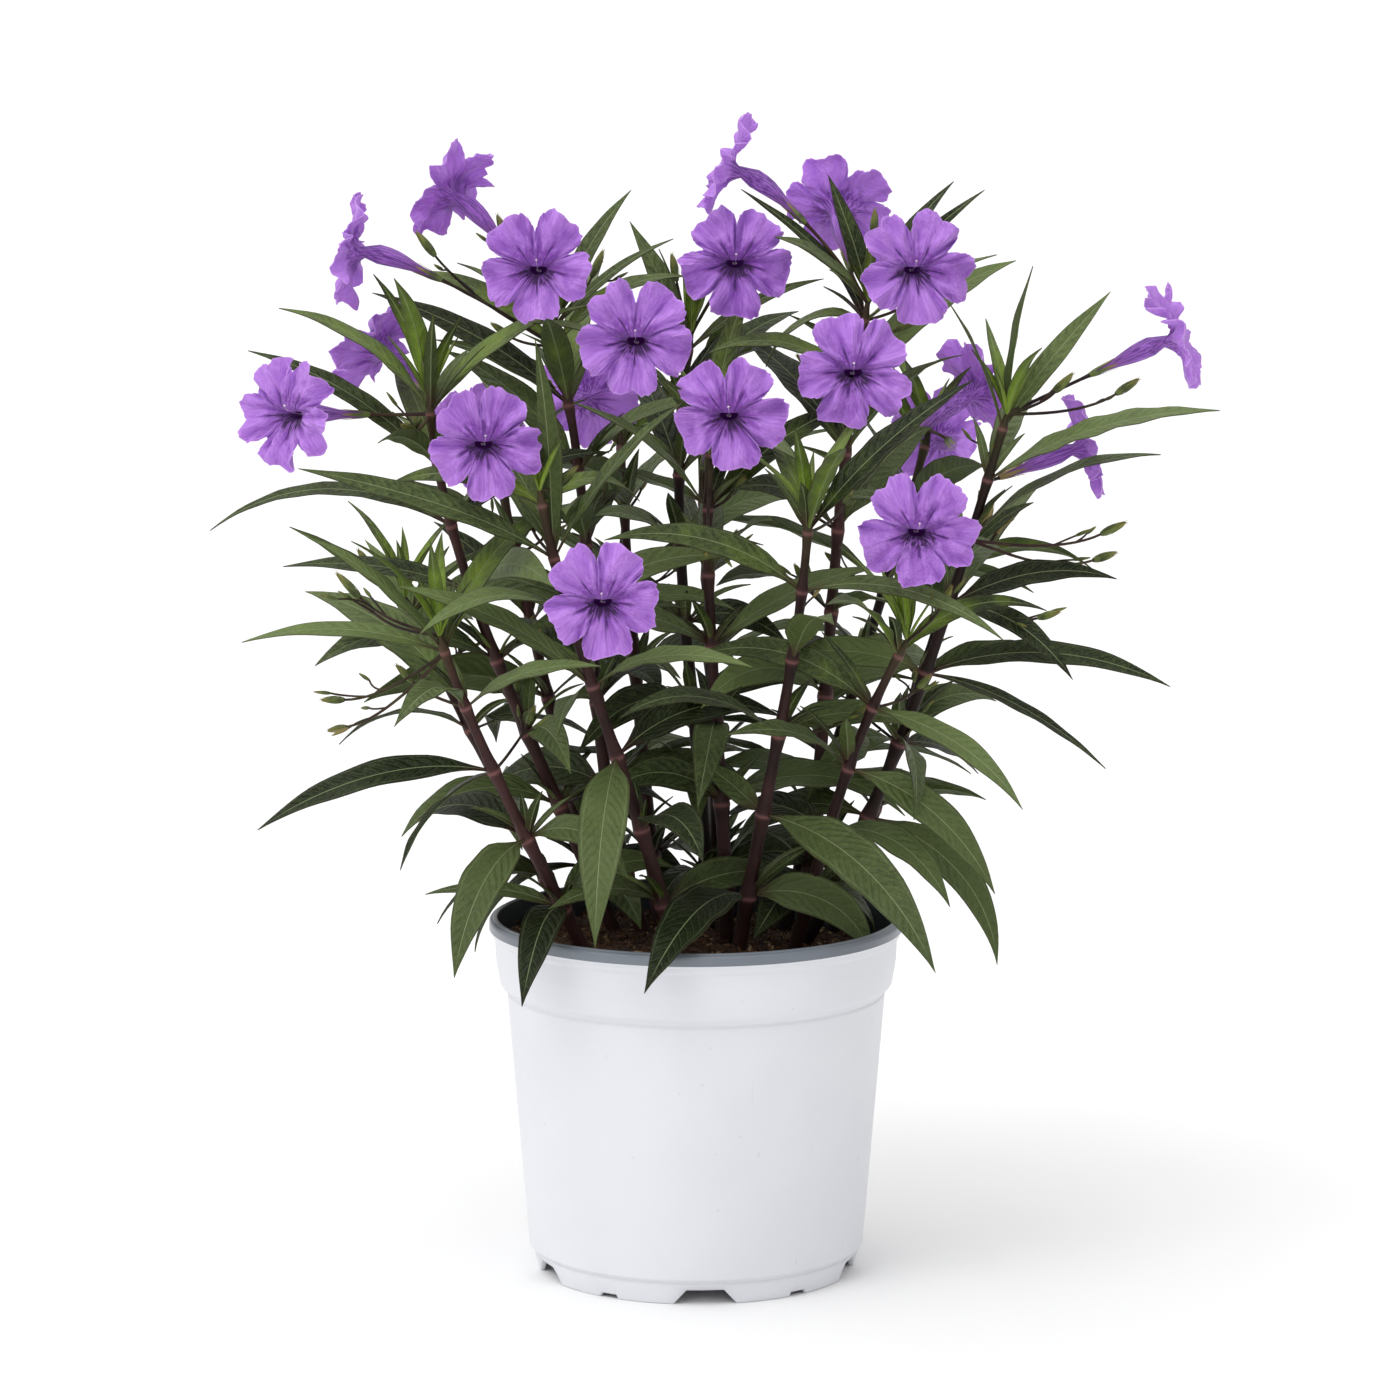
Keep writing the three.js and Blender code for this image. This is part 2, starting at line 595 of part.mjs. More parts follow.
function bezier(points, share) {
  let level = points;
  while (level.length > 1) {
    level = level.slice(1).map((point, i) => level[i].clone().lerp(point, share));
  }
  return level[0];
}

function bloomFrame(bloom) {
  const stem = STEMS[bloom.stem];
  const stalkStart = stemPoint(stem, nodeShare(stem, bloom.node));
  const throat = vec(bloom.throat);
  const facing = unit(...bloom.facing);
  const upward = UP.clone().addScaledVector(facing, -UP.dot(facing)).normalize();
  const sideways = upward.clone().cross(facing);
  const outward = throat.clone().sub(stalkStart).normalize();
  const tubeDirection = outward.clone().lerp(facing, TUBE_TOWARDS_FACING).normalize();
  const calyxMouth = along(throat, tubeDirection, -TUBE_LENGTH);
  const stalkEnd = along(calyxMouth, outward, -CALYX_LENGTH);
  const calyxDirection = calyxMouth.clone().sub(stalkEnd).normalize();
  return { stalkStart, throat, facing, upward, sideways, calyxMouth, stalkEnd, calyxDirection };
}

function limbPoint(frame, angle, radius, height) {
  const point = frame.throat.clone();
  point.addScaledVector(frame.sideways, radius * Math.cos(angle));
  point.addScaledVector(frame.upward, radius * Math.sin(angle));
  return point.addScaledVector(frame.facing, height);
}

function corolla(bloom, bloomIndex) {
  const frame = bloomFrame(bloom);
  const base = along(frame.calyxMouth, frame.calyxDirection, CALYX_GAP);
  const leaving = along(base, frame.calyxDirection, TUBE_LEAVING);
  const arriving = along(frame.throat, frame.facing, -TUBE_ARRIVING);
  const curve = [base, leaving, arriving, frame.throat];
  const spin = -Math.PI / 2 + spread(BLOOM_SPIN_PLAY, KEYS.bloom, bloomIndex, CHANNELS.spin);
  const tubeRing = (share, radius) => {
    const tangent = bezier(curve, share + 0.01).sub(bezier(curve, share)).normalize();
    const [across] = crossAxes(tangent, frame.sideways);
    const other = across.clone().cross(tangent).multiplyScalar(-1);
    return ringAround(bezier(curve, share), across, other, radius, 5, spin);
  };
  const throatRing = (radius, height) => {
    const corners = [];
    for (let i = 0; i < 10; i += 1) {
      corners.push(limbPoint(frame, spin + Math.PI * i / 5, radius, height));
    }
    return corners;
  };
  const edge = [];
  for (let i = 0; i < 20; i += 1) {
    const corner = i % 4;
    const lobeAngle = spin + 2 * Math.PI * Math.floor((i + 1) / 4) / 5;
    const offset = [0, LOBE_HALF_TURN, Math.PI / 5, -LOBE_HALF_TURN][corner];
    const reach = [LIMB_RADIUS - LOBE_DENT, LIMB_RADIUS, LIMB_NOTCH, LIMB_RADIUS][corner];
    const radius = reach + spread(LIMB_EDGE_PLAY, KEYS.limbEdge, bloomIndex, i, CHANNELS.length);
    const height = LIMB_LIFT + spread(LIMB_WAVE, KEYS.limbEdge, bloomIndex, i, CHANNELS.ruffle);
    edge.push(limbPoint(frame, lobeAngle + offset, radius, height));
  }
  return loft([
    tubeRing(0, TUBE_RADIUS_LOW),
    tubeRing(0.5, TUBE_RADIUS_MIDDLE),
    throatRing(THROAT_RADIUS, -THROAT_BACK_DEPTH),
    edge,
    throatRing(THROAT_RADIUS - THROAT_WALL, -THROAT_FRONT_DEPTH),
    [bezier(curve, THROAT_BOTTOM)],
  ]);
}

function flowerStalk(bloom) {
  const frame = bloomFrame(bloom);
  const reach = frame.stalkEnd.distanceTo(frame.stalkStart);
  const bend = along(frame.stalkEnd, frame.calyxDirection, -STALK_BEND * reach);
  const curve = [frame.stalkStart, bend, frame.stalkEnd];
  const guide = frame.sideways;
  const ring = (centre, tangent, radius) => {
    const [across, other] = crossAxes(tangent, guide);
    return ringAround(centre, across, other, radius, STEM_SIDES);
  };
  const leaving = bend.clone().sub(frame.stalkStart).normalize();
  const middle = frame.stalkEnd.clone().sub(frame.stalkStart).normalize();
  const calyxMiddle = along(frame.stalkEnd, frame.calyxDirection, CALYX_WIDEST * CALYX_LENGTH);
  return loft([
    ring(frame.stalkStart, leaving, STALK_RADIUS),
    ring(bezier(curve, 0.5), middle, STALK_RADIUS),
    ring(frame.stalkEnd, frame.calyxDirection, STALK_END_RADIUS),
    ring(calyxMiddle, frame.calyxDirection, CALYX_RADIUS),
    ring(frame.calyxMouth, frame.calyxDirection, CALYX_MOUTH_RADIUS),
  ]);
}

function budSolid(entry) {
  const [stemName, node, tipList, length] = entry;
  const stem = STEMS[stemName];
  const start = stemPoint(stem, nodeShare(stem, node));
  const tip = vec(tipList);
  const direction = tip.clone().sub(start).normalize().addScaledVector(UP, BUD_LIFT).normalize();
  const base = along(tip, direction, -length);
  const leaving = base.clone().sub(start).normalize();
  const guide = Math.abs(direction.x) < 0.8 ? new THREE.Vector3(1, 0, 0) : new THREE.Vector3(0, 1, 0);
  const ring = (centre, tangent, radius) => {
    const [across, other] = crossAxes(tangent, guide);
    return ringAround(centre, across, other, radius, BUD_SIDES);
  };
  return loft([
    ring(start, leaving, BUD_STALK_RADIUS),
    ring(base, direction, BUD_STALK_RADIUS),
    ring(along(base, direction, BUD_WIDEST * length), direction, BUD_RADIUS),
    [tip],
  ]);
}

// What stands where: each entry is a solid of the plant, the stem or bloom it belongs to and its box

const placed = [];

function place(owner, solid, isStem = false) {
  placed.push({ owner, solid, box: solid.boundingBox(), isStem });
  return solid;
}

function boxesMeet(first, second) {
  const { min, max } = first;
  return [0, 1, 2].every((axis) => min[axis] <= second.max[axis] && second.min[axis] <= max[axis]);
}

function crosses(test, owner, ownLeavesCount) {
  const box = test.boundingBox();
  return placed.some((entry) => {
    const own = entry.owner === owner;
    if ((own && (entry.isStem || !ownLeavesCount)) || !boxesMeet(box, entry.box)) {
      return false;
    }
    const shared = test.intersect(entry.solid);
    const meets = !shared.isEmpty();
    shared.delete();
    return meets;
  });
}

function insideCanopy(leaf) {
  const tip = ribPoint(leaf, 1);
  const height = THREE.MathUtils.clamp((tip.z - CANOPY_LOW) / (CANOPY_HIGH - CANOPY_LOW), 0, 1);
  const radius = mix([CANOPY_RADIUS_LOW, CANOPY_RADIUS_HIGH], height);
  return tip.z < CANOPY_TOP && Math.hypot(tip.x, tip.y / CANOPY_DEPTH_SHARE) < radius;
}

// The first of a leaf's tries that is clear of everything grows. A leaf with no clear try is missing.

function growLeaf(owner, makeLeaf, ownLeavesCount) {
  for (let attempt = 0; attempt < LEAF_TRIES; attempt += 1) {
    const leaf = makeLeaf(attempt);
    const test = leafEnvelope(leaf);
    const blocked = crosses(test, owner, ownLeavesCount);
    test.delete();
    if (!blocked && (leaf.cuts === LONG_CUTS || insideCanopy(leaf))) {
      return place(owner, leafSolid(leaf));
    }
  }
  return null;
}

function headingGap(first, second) {
  const gap = Math.abs(first - second) % (2 * Math.PI);
  return Math.min(gap, 2 * Math.PI - gap);
}

function hasLeadingLeaf(name, node, heading) {
  const stem = STEMS[name];
  return (LEADING_LEAVES[name] ?? []).some((entry) => {
    const leaf = leadingLeaf(stem, entry, 0);
    return entry[0] === node && headingGap(leaf.heading, heading) < SAME_SIDE;
  });
}

// The pot and the soil

function radialPrism(notch, turn) {
  const shape = new THREE.Shape();
  shape.moveTo(-notch.bottom / 2, -1);
  shape.lineTo(notch.bottom / 2, -1);
  shape.lineTo(notch.top / 2, notch.height);
  shape.lineTo(-notch.top / 2, notch.height);
  shape.closePath();
  const geometry = new THREE.ExtrudeGeometry(shape, { depth: NOTCH_CUT_LENGTH, bevelEnabled: false });
  geometry.rotateX(Math.PI / 2);
  geometry.translate(0, -NOTCH_CUT_START, 0);
  geometry.rotateZ(turn * DEGREE);
  return solidFromGeometry(geometry);
}

function potSolid() {
  const profile = [[0, FLOOR_UNDERSIDE], ...FOOT_INSIDE, ...POT_OUTSIDE, ...POT_INSIDE];
  profile.push([FLOOR_RADIUS, FLOOR_TOP], [0, FLOOR_TOP]);
  const lathe = new THREE.LatheGeometry(profile.map(([r, z]) => new THREE.Vector2(r, z)), POT_SIDES);
  lathe.rotateX(Math.PI / 2);
  let pot = solidFromGeometry(lathe);
  const step = 360 / NOTCH_COUNT;
  for (let number = 0; number < NOTCH_COUNT; number += 1) {
    const turn = NOTCH_TURN + step * number;
    pot = pot.subtract(radialPrism(WIDE_NOTCH, turn));
    pot = pot.subtract(radialPrism(SMALL_NOTCH, turn + step / 2));
    const drain = new THREE.CylinderGeometry(DRAIN_RADIUS, DRAIN_RADIUS, DRAIN_CUT, DRAIN_SIDES);
    drain.rotateX(Math.PI / 2);
    drain.translate(0, -DRAIN_CIRCLE, FLOOR_TOP);
    drain.rotateZ((turn + step / 2) * DEGREE);
    pot = pot.subtract(solidFromGeometry(drain));
  }
  return pot;
}

function soilRing(radius, height) {
  const ring = [];
  for (let i = 0; i < SOIL_SIDES; i += 1) {
    const angle = 2 * Math.PI * i / SOIL_SIDES;
    ring.push(new THREE.Vector3(radius * Math.sin(angle), -radius * Math.cos(angle), height));
  }
  return ring;
}

function soilSolid() {
  const wall = POT_INSIDE.slice(1).reverse();
  const underside = FLOOR_TOP + SOIL_GAP;
  const rings = [[new THREE.Vector3(0, 0, underside)], soilRing(SOIL_FLOOR_RADIUS, underside)];
  wall.forEach(([radius, height]) => rings.push(soilRing(radius - SOIL_WALL_GAP, height)));
  SOIL_RINGS.forEach((share, row) => {
    const ring = soilRing(SOIL_RING_RADIUS * share, SOIL_TOP - SOIL_RIM_DROP + SOIL_DOME * (1 - share));
    ring.forEach((point, i) => {
      point.z += SOIL_SLOPE.x * point.x + SOIL_SLOPE.y * point.y;
      point.z += spread(SOIL_BUMP, KEYS.soil, row, i, CHANNELS.bump);
    });
    rings.push(ring);
  });
  rings.push([new THREE.Vector3(0, 0, SOIL_TOP + 2)]);
  let soil = loft(rings);
  STEM_NAMES.forEach((name) => {
    soil = soil.subtract(stemHole(STEMS[name]));
  });
  return soil;
}

// Growing the plant

const pot = place('pot', potSolid());
const soil = place('soil', soilSolid());

const stemPieces = {};
for (const name of STEM_NAMES) {
  stemPieces[name] = [place(name, stemTube(STEMS[name]), true)];
}

const bloomSolids = {};
Object.entries(BLOOMS).forEach(([name, bloom], index) => {
  bloomSolids[name] = place(name, corolla(bloom, index));
  stemPieces[bloom.stem].push(place(bloom.stem, flowerStalk(bloom)));
});
BUDS.forEach((entry) => stemPieces[entry[0]].push(place(entry[0], budSolid(entry))));

for (const [name, entries] of Object.entries(LEADING_LEAVES)) {
  entries.forEach((entry) => {
    stemPieces[name].push(growLeaf(name, (attempt) => leadingLeaf(STEMS[name], entry, attempt), false));
  });
}
STEM_NAMES.forEach((name, stemIndex) => {
  const stem = STEMS[name];
  for (let number = 0; number < YOUNG_LEAVES; number += 1) {
    stemPieces[name].push(growLeaf(name, (attempt) => youngLeaf(stem, stemIndex, number, attempt), true));
  }
  for (let node = stem.pairs - 1; node >= 0; node -= 1) {
    for (const side of [0, 1]) {
      const makeLeaf = (attempt) => pairLeaf(stem, stemIndex, node, side, attempt);
      if (!hasLeadingLeaf(name, node, (stem.turn + 90 * node + 180 * side) * DEGREE)) {
        stemPieces[name].push(growLeaf(name, makeLeaf, true));
      }
    }
  }
});

// The scene graph

const FINISHES = {
  pot: { color: 0xeef0f3, roughness: 0.45, metalness: 0 },
  soil: { color: 0x33261d, roughness: 0.95, metalness: 0 },
  leaf: { color: 0x3a4f30, roughness: 0.5, metalness: 0 },
  petal: { color: 0x8a4fc0, roughness: 0.6, metalness: 0 },
};

function meshOf(name, solid, finish) {
  const { vertProperties, triVerts } = solid.getMesh();
  const geometry = new THREE.BufferGeometry();
  geometry.setAttribute('position', new THREE.BufferAttribute(Float32Array.from(vertProperties), 3));
  geometry.setIndex(new THREE.BufferAttribute(Uint32Array.from(triVerts), 1));
  geometry.computeVertexNormals();
  const mesh = new THREE.Mesh(geometry, new THREE.MeshStandardMaterial(FINISHES[finish]));
  mesh.name = name;
  return mesh;
}

const group = new THREE.Group();
group.name = 'potted_mexican_petunia';
group.add(meshOf('pot', pot, 'pot'));
group.add(meshOf('soil', soil, 'soil'));
for (const name of STEM_NAMES) {
  group.add(meshOf(`stem_${name.toLowerCase()}`, fuse(stemPieces[name].filter(Boolean)), 'leaf'));
}
for (const [name, solid] of Object.entries(bloomSolids)) {
  group.add(meshOf(`bloom_${name.slice(1)}`, solid, 'petal'));
}

export default group;
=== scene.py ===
import logging
import math
from collections.abc import Callable, Sequence
from dataclasses import dataclass, field
from enum import Enum, IntEnum
from functools import partial

import bpy
import numpy as np
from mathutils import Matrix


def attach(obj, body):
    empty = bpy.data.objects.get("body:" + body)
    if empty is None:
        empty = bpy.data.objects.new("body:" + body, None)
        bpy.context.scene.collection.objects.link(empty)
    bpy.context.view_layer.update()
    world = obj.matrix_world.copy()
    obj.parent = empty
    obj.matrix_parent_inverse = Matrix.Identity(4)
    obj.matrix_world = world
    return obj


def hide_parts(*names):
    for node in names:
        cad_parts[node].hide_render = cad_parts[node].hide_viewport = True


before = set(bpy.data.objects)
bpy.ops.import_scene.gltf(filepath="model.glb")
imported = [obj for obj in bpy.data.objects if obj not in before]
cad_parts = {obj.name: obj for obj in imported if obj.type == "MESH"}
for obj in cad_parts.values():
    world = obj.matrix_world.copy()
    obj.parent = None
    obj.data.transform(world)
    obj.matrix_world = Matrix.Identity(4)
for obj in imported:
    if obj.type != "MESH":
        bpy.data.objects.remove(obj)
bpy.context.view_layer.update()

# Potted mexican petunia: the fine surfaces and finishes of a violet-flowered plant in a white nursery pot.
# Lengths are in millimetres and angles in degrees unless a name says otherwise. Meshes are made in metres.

LOG = logging.getLogger("potted_mexican_petunia")
BODY = "root"
MM = 0.001
UP = np.array([0.0, 0.0, 1.0])
Array = np.ndarray
Surface = tuple[Array, Array, Array]
Corner = tuple[float, float, float]
Profile = tuple[tuple[float, float], ...]
BudPlan = tuple[str, int, Corner, float]
Piece = bpy.types.Object
Material = bpy.types.Material
Socket = bpy.types.NodeSocket
Sockets = dict[str | int, object]
Paint = Socket | str


class Slot(Enum):
    """Names for four material slots."""

    POT = "pot_plastic"
    SOIL = "potting_soil"
    FOLIAGE = "foliage"
    PETAL = "petal"


# Seeded draws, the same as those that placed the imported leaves


class Channel(IntEnum):
    """What a draw is for."""

    TURN = 1
    RISE = 2
    CURL = 3
    LENGTH = 4
    WIDTH = 5
    ROLL = 6
    SWEEP = 7
    RUFFLE = 8
    SPIN = 9
    BUMP = 10
    TONE = 11
    CHANCE = 12


class Family(IntEnum):
    """Which kind of thing a draw belongs to."""

    YOUNG = 60
    LEADING = 77
    BLOOM = 90
    TUFT = 101
    AXIL = 102
    SOIL = 103
    FIBRE = 104
    PETAL = 105
    FORK = 106
    SPARE = 107


SEED = 20417
WORD = 0xFFFFFFFF


def draw(*keys: int) -> float:
    """Draws a number that is always the same for the same keys.

    Args:
        keys: whole numbers that name the draw.

    Returns:
        A number from 0 to 1.
    """
    state = SEED
    for key in keys:
        state = ((state ^ key) * 2654435761) & WORD
        state ^= state >> 15
        state = (state * 2246822519) & WORD
        state ^= state >> 13
    return state / (WORD + 1)


def spread(amount: float, *keys: int) -> float:
    """Draws a number from -amount to amount."""
    return amount * (2 * draw(*keys) - 1)


# Numbers and directions


def mix(ends: Sequence[float], share: float) -> float:
    """Gives the value at a share of the way between two ends."""
    return ends[0] + (ends[1] - ends[0]) * share


def smooth(low: float, high: float, values: Array) -> Array:
    """Rises smoothly from 0 at low to 1 at high."""
    share = np.clip((np.asarray(values, float) - low) / (high - low), 0, 1)
    return share * share * (3 - 2 * share)


def unit(vectors: Array) -> Array:
    """Gives vectors the length 1."""
    return vectors / np.linalg.norm(vectors, axis=-1, keepdims=True)


def squared(guide: Array, tangents: Array) -> Array:
    """Gives the directions nearest to a guide that are square to some tangents."""
    along = np.sum(guide * tangents, axis=-1, keepdims=True)
    return unit(guide - along * tangents)


def bezier(corners: Sequence[Array], shares: Array) -> Array:
    """Follows a Bezier curve.

    Args:
        corners: its control points.
        shares: how far along it each wanted point lies, from 0 to 1.

    Returns:
        One point for each share.
    """
    level = [np.broadcast_to(corner, (len(shares), 3)) for corner in corners]
    step = np.asarray(shares, float)[:, None]
    while len(level) > 1:
        level = [first + (second - first) * step for first, second in zip(level, level[1:])]
    return level[0]


def tangents_of(points: Array) -> Array:
    """Gives the direction of a row of points at each of them."""
    return unit(np.gradient(points, axis=0))


def stacked(shape: tuple[int, ...], *parts: Array | float) -> Array:
    """Joins numbers in vectors, with each number spread over the same shape."""
    return np.stack([np.broadcast_to(part, shape) for part in parts], axis=-1)


def around(radius: Array | float, turn: Array, height: Array | float) -> Array:
    """Gives points at a radius, a turn and a height about the upright axis."""
    x, y = radius * np.cos(turn), radius * np.sin(turn)
    return stacked(x.shape, x, y, height)


def full_turn(count: int) -> Array:
    """Gives evenly spaced angles round a circle."""
    return math.tau * np.arange(count) / count


# Meshes


def placed(name: str, data: bpy.types.ID) -> Piece:
    """Puts data in the scene as an object at the origin.

    Args:
        name: its name.
        data: its mesh, lamp or camera.

    Returns:
        The object.
    """
    piece = bpy.data.objects.new(name, data)
    bpy.context.scene.collection.objects.link(piece)
    return piece


def evaluated(piece: Piece) -> bpy.types.Mesh:
    """Gives the mesh that an object's modifiers make.

    Args:
        piece: the object.

    Returns:
        A mesh of its own.
    """
    graph = bpy.context.evaluated_depsgraph_get()
    grown = piece.evaluated_get(graph)
    return bpy.data.meshes.new_from_object(grown, preserve_all_data_layers=True, depsgraph=graph)


def traced(
    name: str, points: Array, edges: Sequence[list[int]] = (), faces: Sequence[list[int]] = (),
    **values: Array,
) -> bpy.types.Mesh:
    """Makes a mesh.

    Args:
        name: its name.
        points: where its points are, in millimetres.
        edges: the two points of each loose edge.
        faces: the points of each face.
        values: a number or a vector for each point, by name.

    Returns:
        The mesh, in metres.
    """
    mesh = bpy.data.meshes.new(name)
    mesh.from_pydata((points.reshape(-1, 3) * MM).tolist(), edges, faces)
    for key, numbers in values.items():
        kind, slot = ("FLOAT", "value") if numbers.ndim == 1 else ("FLOAT_VECTOR", "vector")
        attribute = mesh.attributes.new(key, kind, "POINT")
        attribute.data.foreach_set(slot, numbers.astype(np.float32).ravel())
    return mesh


@dataclass
class Sheet:
    """An open surface of four-cornered faces, with what its finish reads at each point."""

    points: Array
    faces: Array
    place: Array
    nature: Array

    def normals(self) -> Array:
        """Gives the direction that the front faces at each point.

        Returns:
            A unit vector for each point.
        """
        a, b, c, d = (self.points[self.faces[:, i]] for i in range(4))
        facing = np.cross(c - a, d - b)
        total = np.zeros_like(self.points)
        for i in range(4):
            np.add.at(total, self.faces[:, i], facing)
        return unit(total)

    def rim(self) -> Array:
        """Gives the faces that join the front's edge to that of a back whose points follow the front's.

        Returns:
            Four point numbers for each face.
        """
        count = len(self.points)
        sides = np.concatenate([self.faces[:, [i, (i + 1) % 4]] for i in range(4)])
        there = sides[:, 0] * count + sides[:, 1]
        back = sides[:, 1] * count + sides[:, 0]
        edge = sides[~np.isin(there, back)]
        return np.stack([edge[:, 1], edge[:, 0], edge[:, 0] + count, edge[:, 1] + count], axis=1)


def grid_faces(rows: int, columns: int, closed: bool = False) -> Array:
    """Makes the faces of a grid of points, stored row by row.

    Args:
        rows: how many rows it has.
        columns: how many points a row has.
        closed: whether the last column joins the first.

    Returns:
        Four point numbers for each face.
    """
    row, column = (part.ravel() for part in np.indices((rows - 1, columns if closed else columns - 1)))
    following = (column + 1) % columns
    first, second = row * columns, (row + 1) * columns
    return np.stack([first + column, second + column, second + following, first + following], axis=1)


def woven(points: Array, place: Array, nature: Array, closed: bool = False) -> Sheet:
    """Makes a sheet of points and surface values given by row and column, closed round an axis or not."""
    spots, *surface = (values.reshape(-1, 3) for values in (points, place, nature))
    return Sheet(spots, grid_faces(*points.shape[:2], closed), *surface)


class Draft:
    """The points, faces and surface values of one piece under way, in millimetres."""

    def __init__(self) -> None:
        """Starts with nothing."""
        self.count = 0
        self.points: list[Array] = []
        self.place: list[Array] = []
        self.nature: list[Array] = []
        self.faces: list[list[int]] = []
        self.finish: list[int] = []

    def add(self, points: Array, place: Array, nature: Array) -> int:
        """Adds points.

        Args:
            points: where they are.
            place: where each lies on its leaf, petal or stalk.
            nature: tone, age and the like at each.

        Returns:
            The number of the first new point.
        """
        start = self.count
        self.points.append(points)
        self.place.append(np.broadcast_to(place, points.shape))
        self.nature.append(np.broadcast_to(nature, points.shape))
        self.count += len(points)
        return start

    def cover(self, faces: Array, finish: int | Array) -> None:
        """Adds faces with one finish, or with one for each face."""
        self.faces.extend(np.asarray(faces).tolist())
        self.finish.extend(np.broadcast_to(finish, len(faces)).tolist())

    def shell(self, sheet: Sheet, front: Array, back: Array, finishes: tuple[int, int]) -> None:
        """Adds a closed shell round a sheet.

        Args:
            sheet: the open surface.
            front: how far the front lies above it.
            back: how far the back lies below it.
            finishes: the numbers of the front's finish and of the back's.
        """
        normals = sheet.normals()
        lift, drop = (np.reshape(amount, (-1, 1)) * normals for amount in (front, back))
        start = self.add(sheet.points + lift, sheet.place, sheet.nature)
        self.add(sheet.points - drop, sheet.place, sheet.nature)
        self.cover(sheet.faces + start, finishes[0])
        self.cover(sheet.faces[:, ::-1] + start + len(sheet.points), finishes[1])
        self.cover(sheet.rim() + start, finishes[1])

    def turned(self, rings: Array, finish: int | Array) -> None:
        """Adds a closed body of rings round an axis, with a pole at the middle of each end ring.

        Args:
            rings: points as rows of rings.
            finish: the number of its finish, or one for each band between two rings.
        """
        rows, columns = rings.shape[:2]
        bands = np.broadcast_to(finish, rows - 1)
        plain = np.zeros(3)
        start = self.add(rings.reshape(-1, 3), plain, plain)
        self.cover(grid_faces(rows, columns, closed=True)[:, ::-1] + start, np.repeat(bands, columns))
        for row, order, band in ((0, 1, 0), (rows - 1, -1, -1)):
            pole = self.add(rings[row].mean(axis=0)[None], plain, plain)
            ring = start + row * columns + np.arange(columns)
            self.cover(np.stack([np.full(columns, pole), np.roll(ring, -order), ring], axis=1), bands[band])

    def make(self, name: str, finishes: Sequence[Material], crease: float = 50.0) -> Piece:
        """Makes the piece.

        Args:
            name: its name.
            finishes: its materials, in the order of their numbers.
            crease: the angle past which an edge stays sharp.

        Returns:
            An object at the origin, in metres.
        """
        surface = {"place": np.concatenate(self.place), "nature": np.concatenate(self.nature)}
        mesh = traced(name, np.concatenate(self.points), faces=self.faces, **surface)
        for material in finishes:
            mesh.materials.append(material)
        mesh.polygons.foreach_set("material_index", self.finish)
        mesh.shade_smooth()
        mesh.set_sharp_from_angle(angle=math.radians(crease))
        mesh.validate()
        return placed(name, mesh)


def show(piece: Piece, nodes: Sequence[str] = ()) -> None:
    """Puts a finished piece on the plant's body and reports it.

    Args:
        piece: the object.
        nodes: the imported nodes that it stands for.
    """
    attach(piece, BODY)
    if nodes:
        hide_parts(*nodes)
    LOG.info("%s: %d faces, for %s", piece.name, len(piece.data.polygons), ", ".join(nodes) or "itself")


# Node trees


class Wire:
    """A number that a node gives. Sums with it add Math nodes."""

    def __init__(self, board: "Wiring", socket: Socket) -> None:
        """Keeps the socket and the tree that it is in."""
        self.board = board
        self.socket = socket

    def math(self, operation: str, *others: "Wire | float") -> "Wire":
        """Adds a Math node on this number and others."""
        sockets = dict(enumerate((self, *others)))
        return self.board.number("ShaderNodeMath", {"operation": operation}, sockets)

    def __add__(self, other: "Wire | float") -> "Wire":
        """Adds."""
        return self.math("ADD", other)

    def __sub__(self, other: "Wire | float") -> "Wire":
        """Takes away."""
        return self.math("SUBTRACT", other)

    def __rsub__(self, other: float) -> "Wire":
        """Takes from a plain number."""
        return self.board.number("ShaderNodeMath", {"operation": "SUBTRACT"}, {0: other, 1: self})

    def __mul__(self, other: "Wire | float") -> "Wire":
        """Multiplies."""
        return self.math("MULTIPLY", other)

    def __truediv__(self, other: "Wire | float") -> "Wire":
        """Divides."""
        return self.math("DIVIDE", other)

    def __rtruediv__(self, other: float) -> "Wire":
        """Divides a plain number."""
        return self.board.number("ShaderNodeMath", {"operation": "DIVIDE"}, {0: other, 1: self})

    def __abs__(self) -> "Wire":
        """Drops the sign."""
        return self.math("ABSOLUTE")

    __radd__ = __add__
    __rmul__ = __mul__

    def rise(self, low: float, high: float) -> "Wire":
        """Rises smoothly from 0 at low to 1 at high."""
        sockets = {"Value": self, "From Min": low, "From Max": high}
        return self.board.number("ShaderNodeMapRange", {"interpolation_type": "SMOOTHSTEP"}, sockets)

    def fade(self, low: float, high: float) -> "Wire":
        """Falls smoothly from 1 at low to 0 at high."""
        return 1 - self.rise(low, high)

    def lines(self, spacing: float, width: float) -> "Wire":
        """Gives thin lines, one for each spacing, as wide as a share of it."""
        return abs((self / spacing).math("FRACT") - 0.5).fade(0, width / 2)


class Wiring:
    """Adds and links the nodes of one tree."""

    def __init__(self, tree: bpy.types.NodeTree) -> None:
        """Keeps the tree."""
        self.tree = tree

    def add(
        self, kind: str, settings: dict[str, object] | None = None, sockets: Sockets | None = None
    ) -> bpy.types.Node:
        """Adds a node.

        Args:
            kind: its type.
            settings: its properties, which are set first.
            sockets: a value or a link for its inputs, by name or number.

        Returns:
            The node.
        """
        node = self.tree.nodes.new(kind)
        for name, value in (settings or {}).items():
            setattr(node, name, value)
        for key, value in (sockets or {}).items():
            source = value.socket if isinstance(value, Wire) else value
            if isinstance(source, Socket):
                self.tree.links.new(source, node.inputs[key])
            else:
                node.inputs[key].default_value = source
        return node

    def number(self, kind: str, settings: dict[str, object], sockets: Sockets) -> Wire:
        """Adds a node and gives the number in its first output."""
        return Wire(self, self.add(kind, settings, sockets).outputs[0])


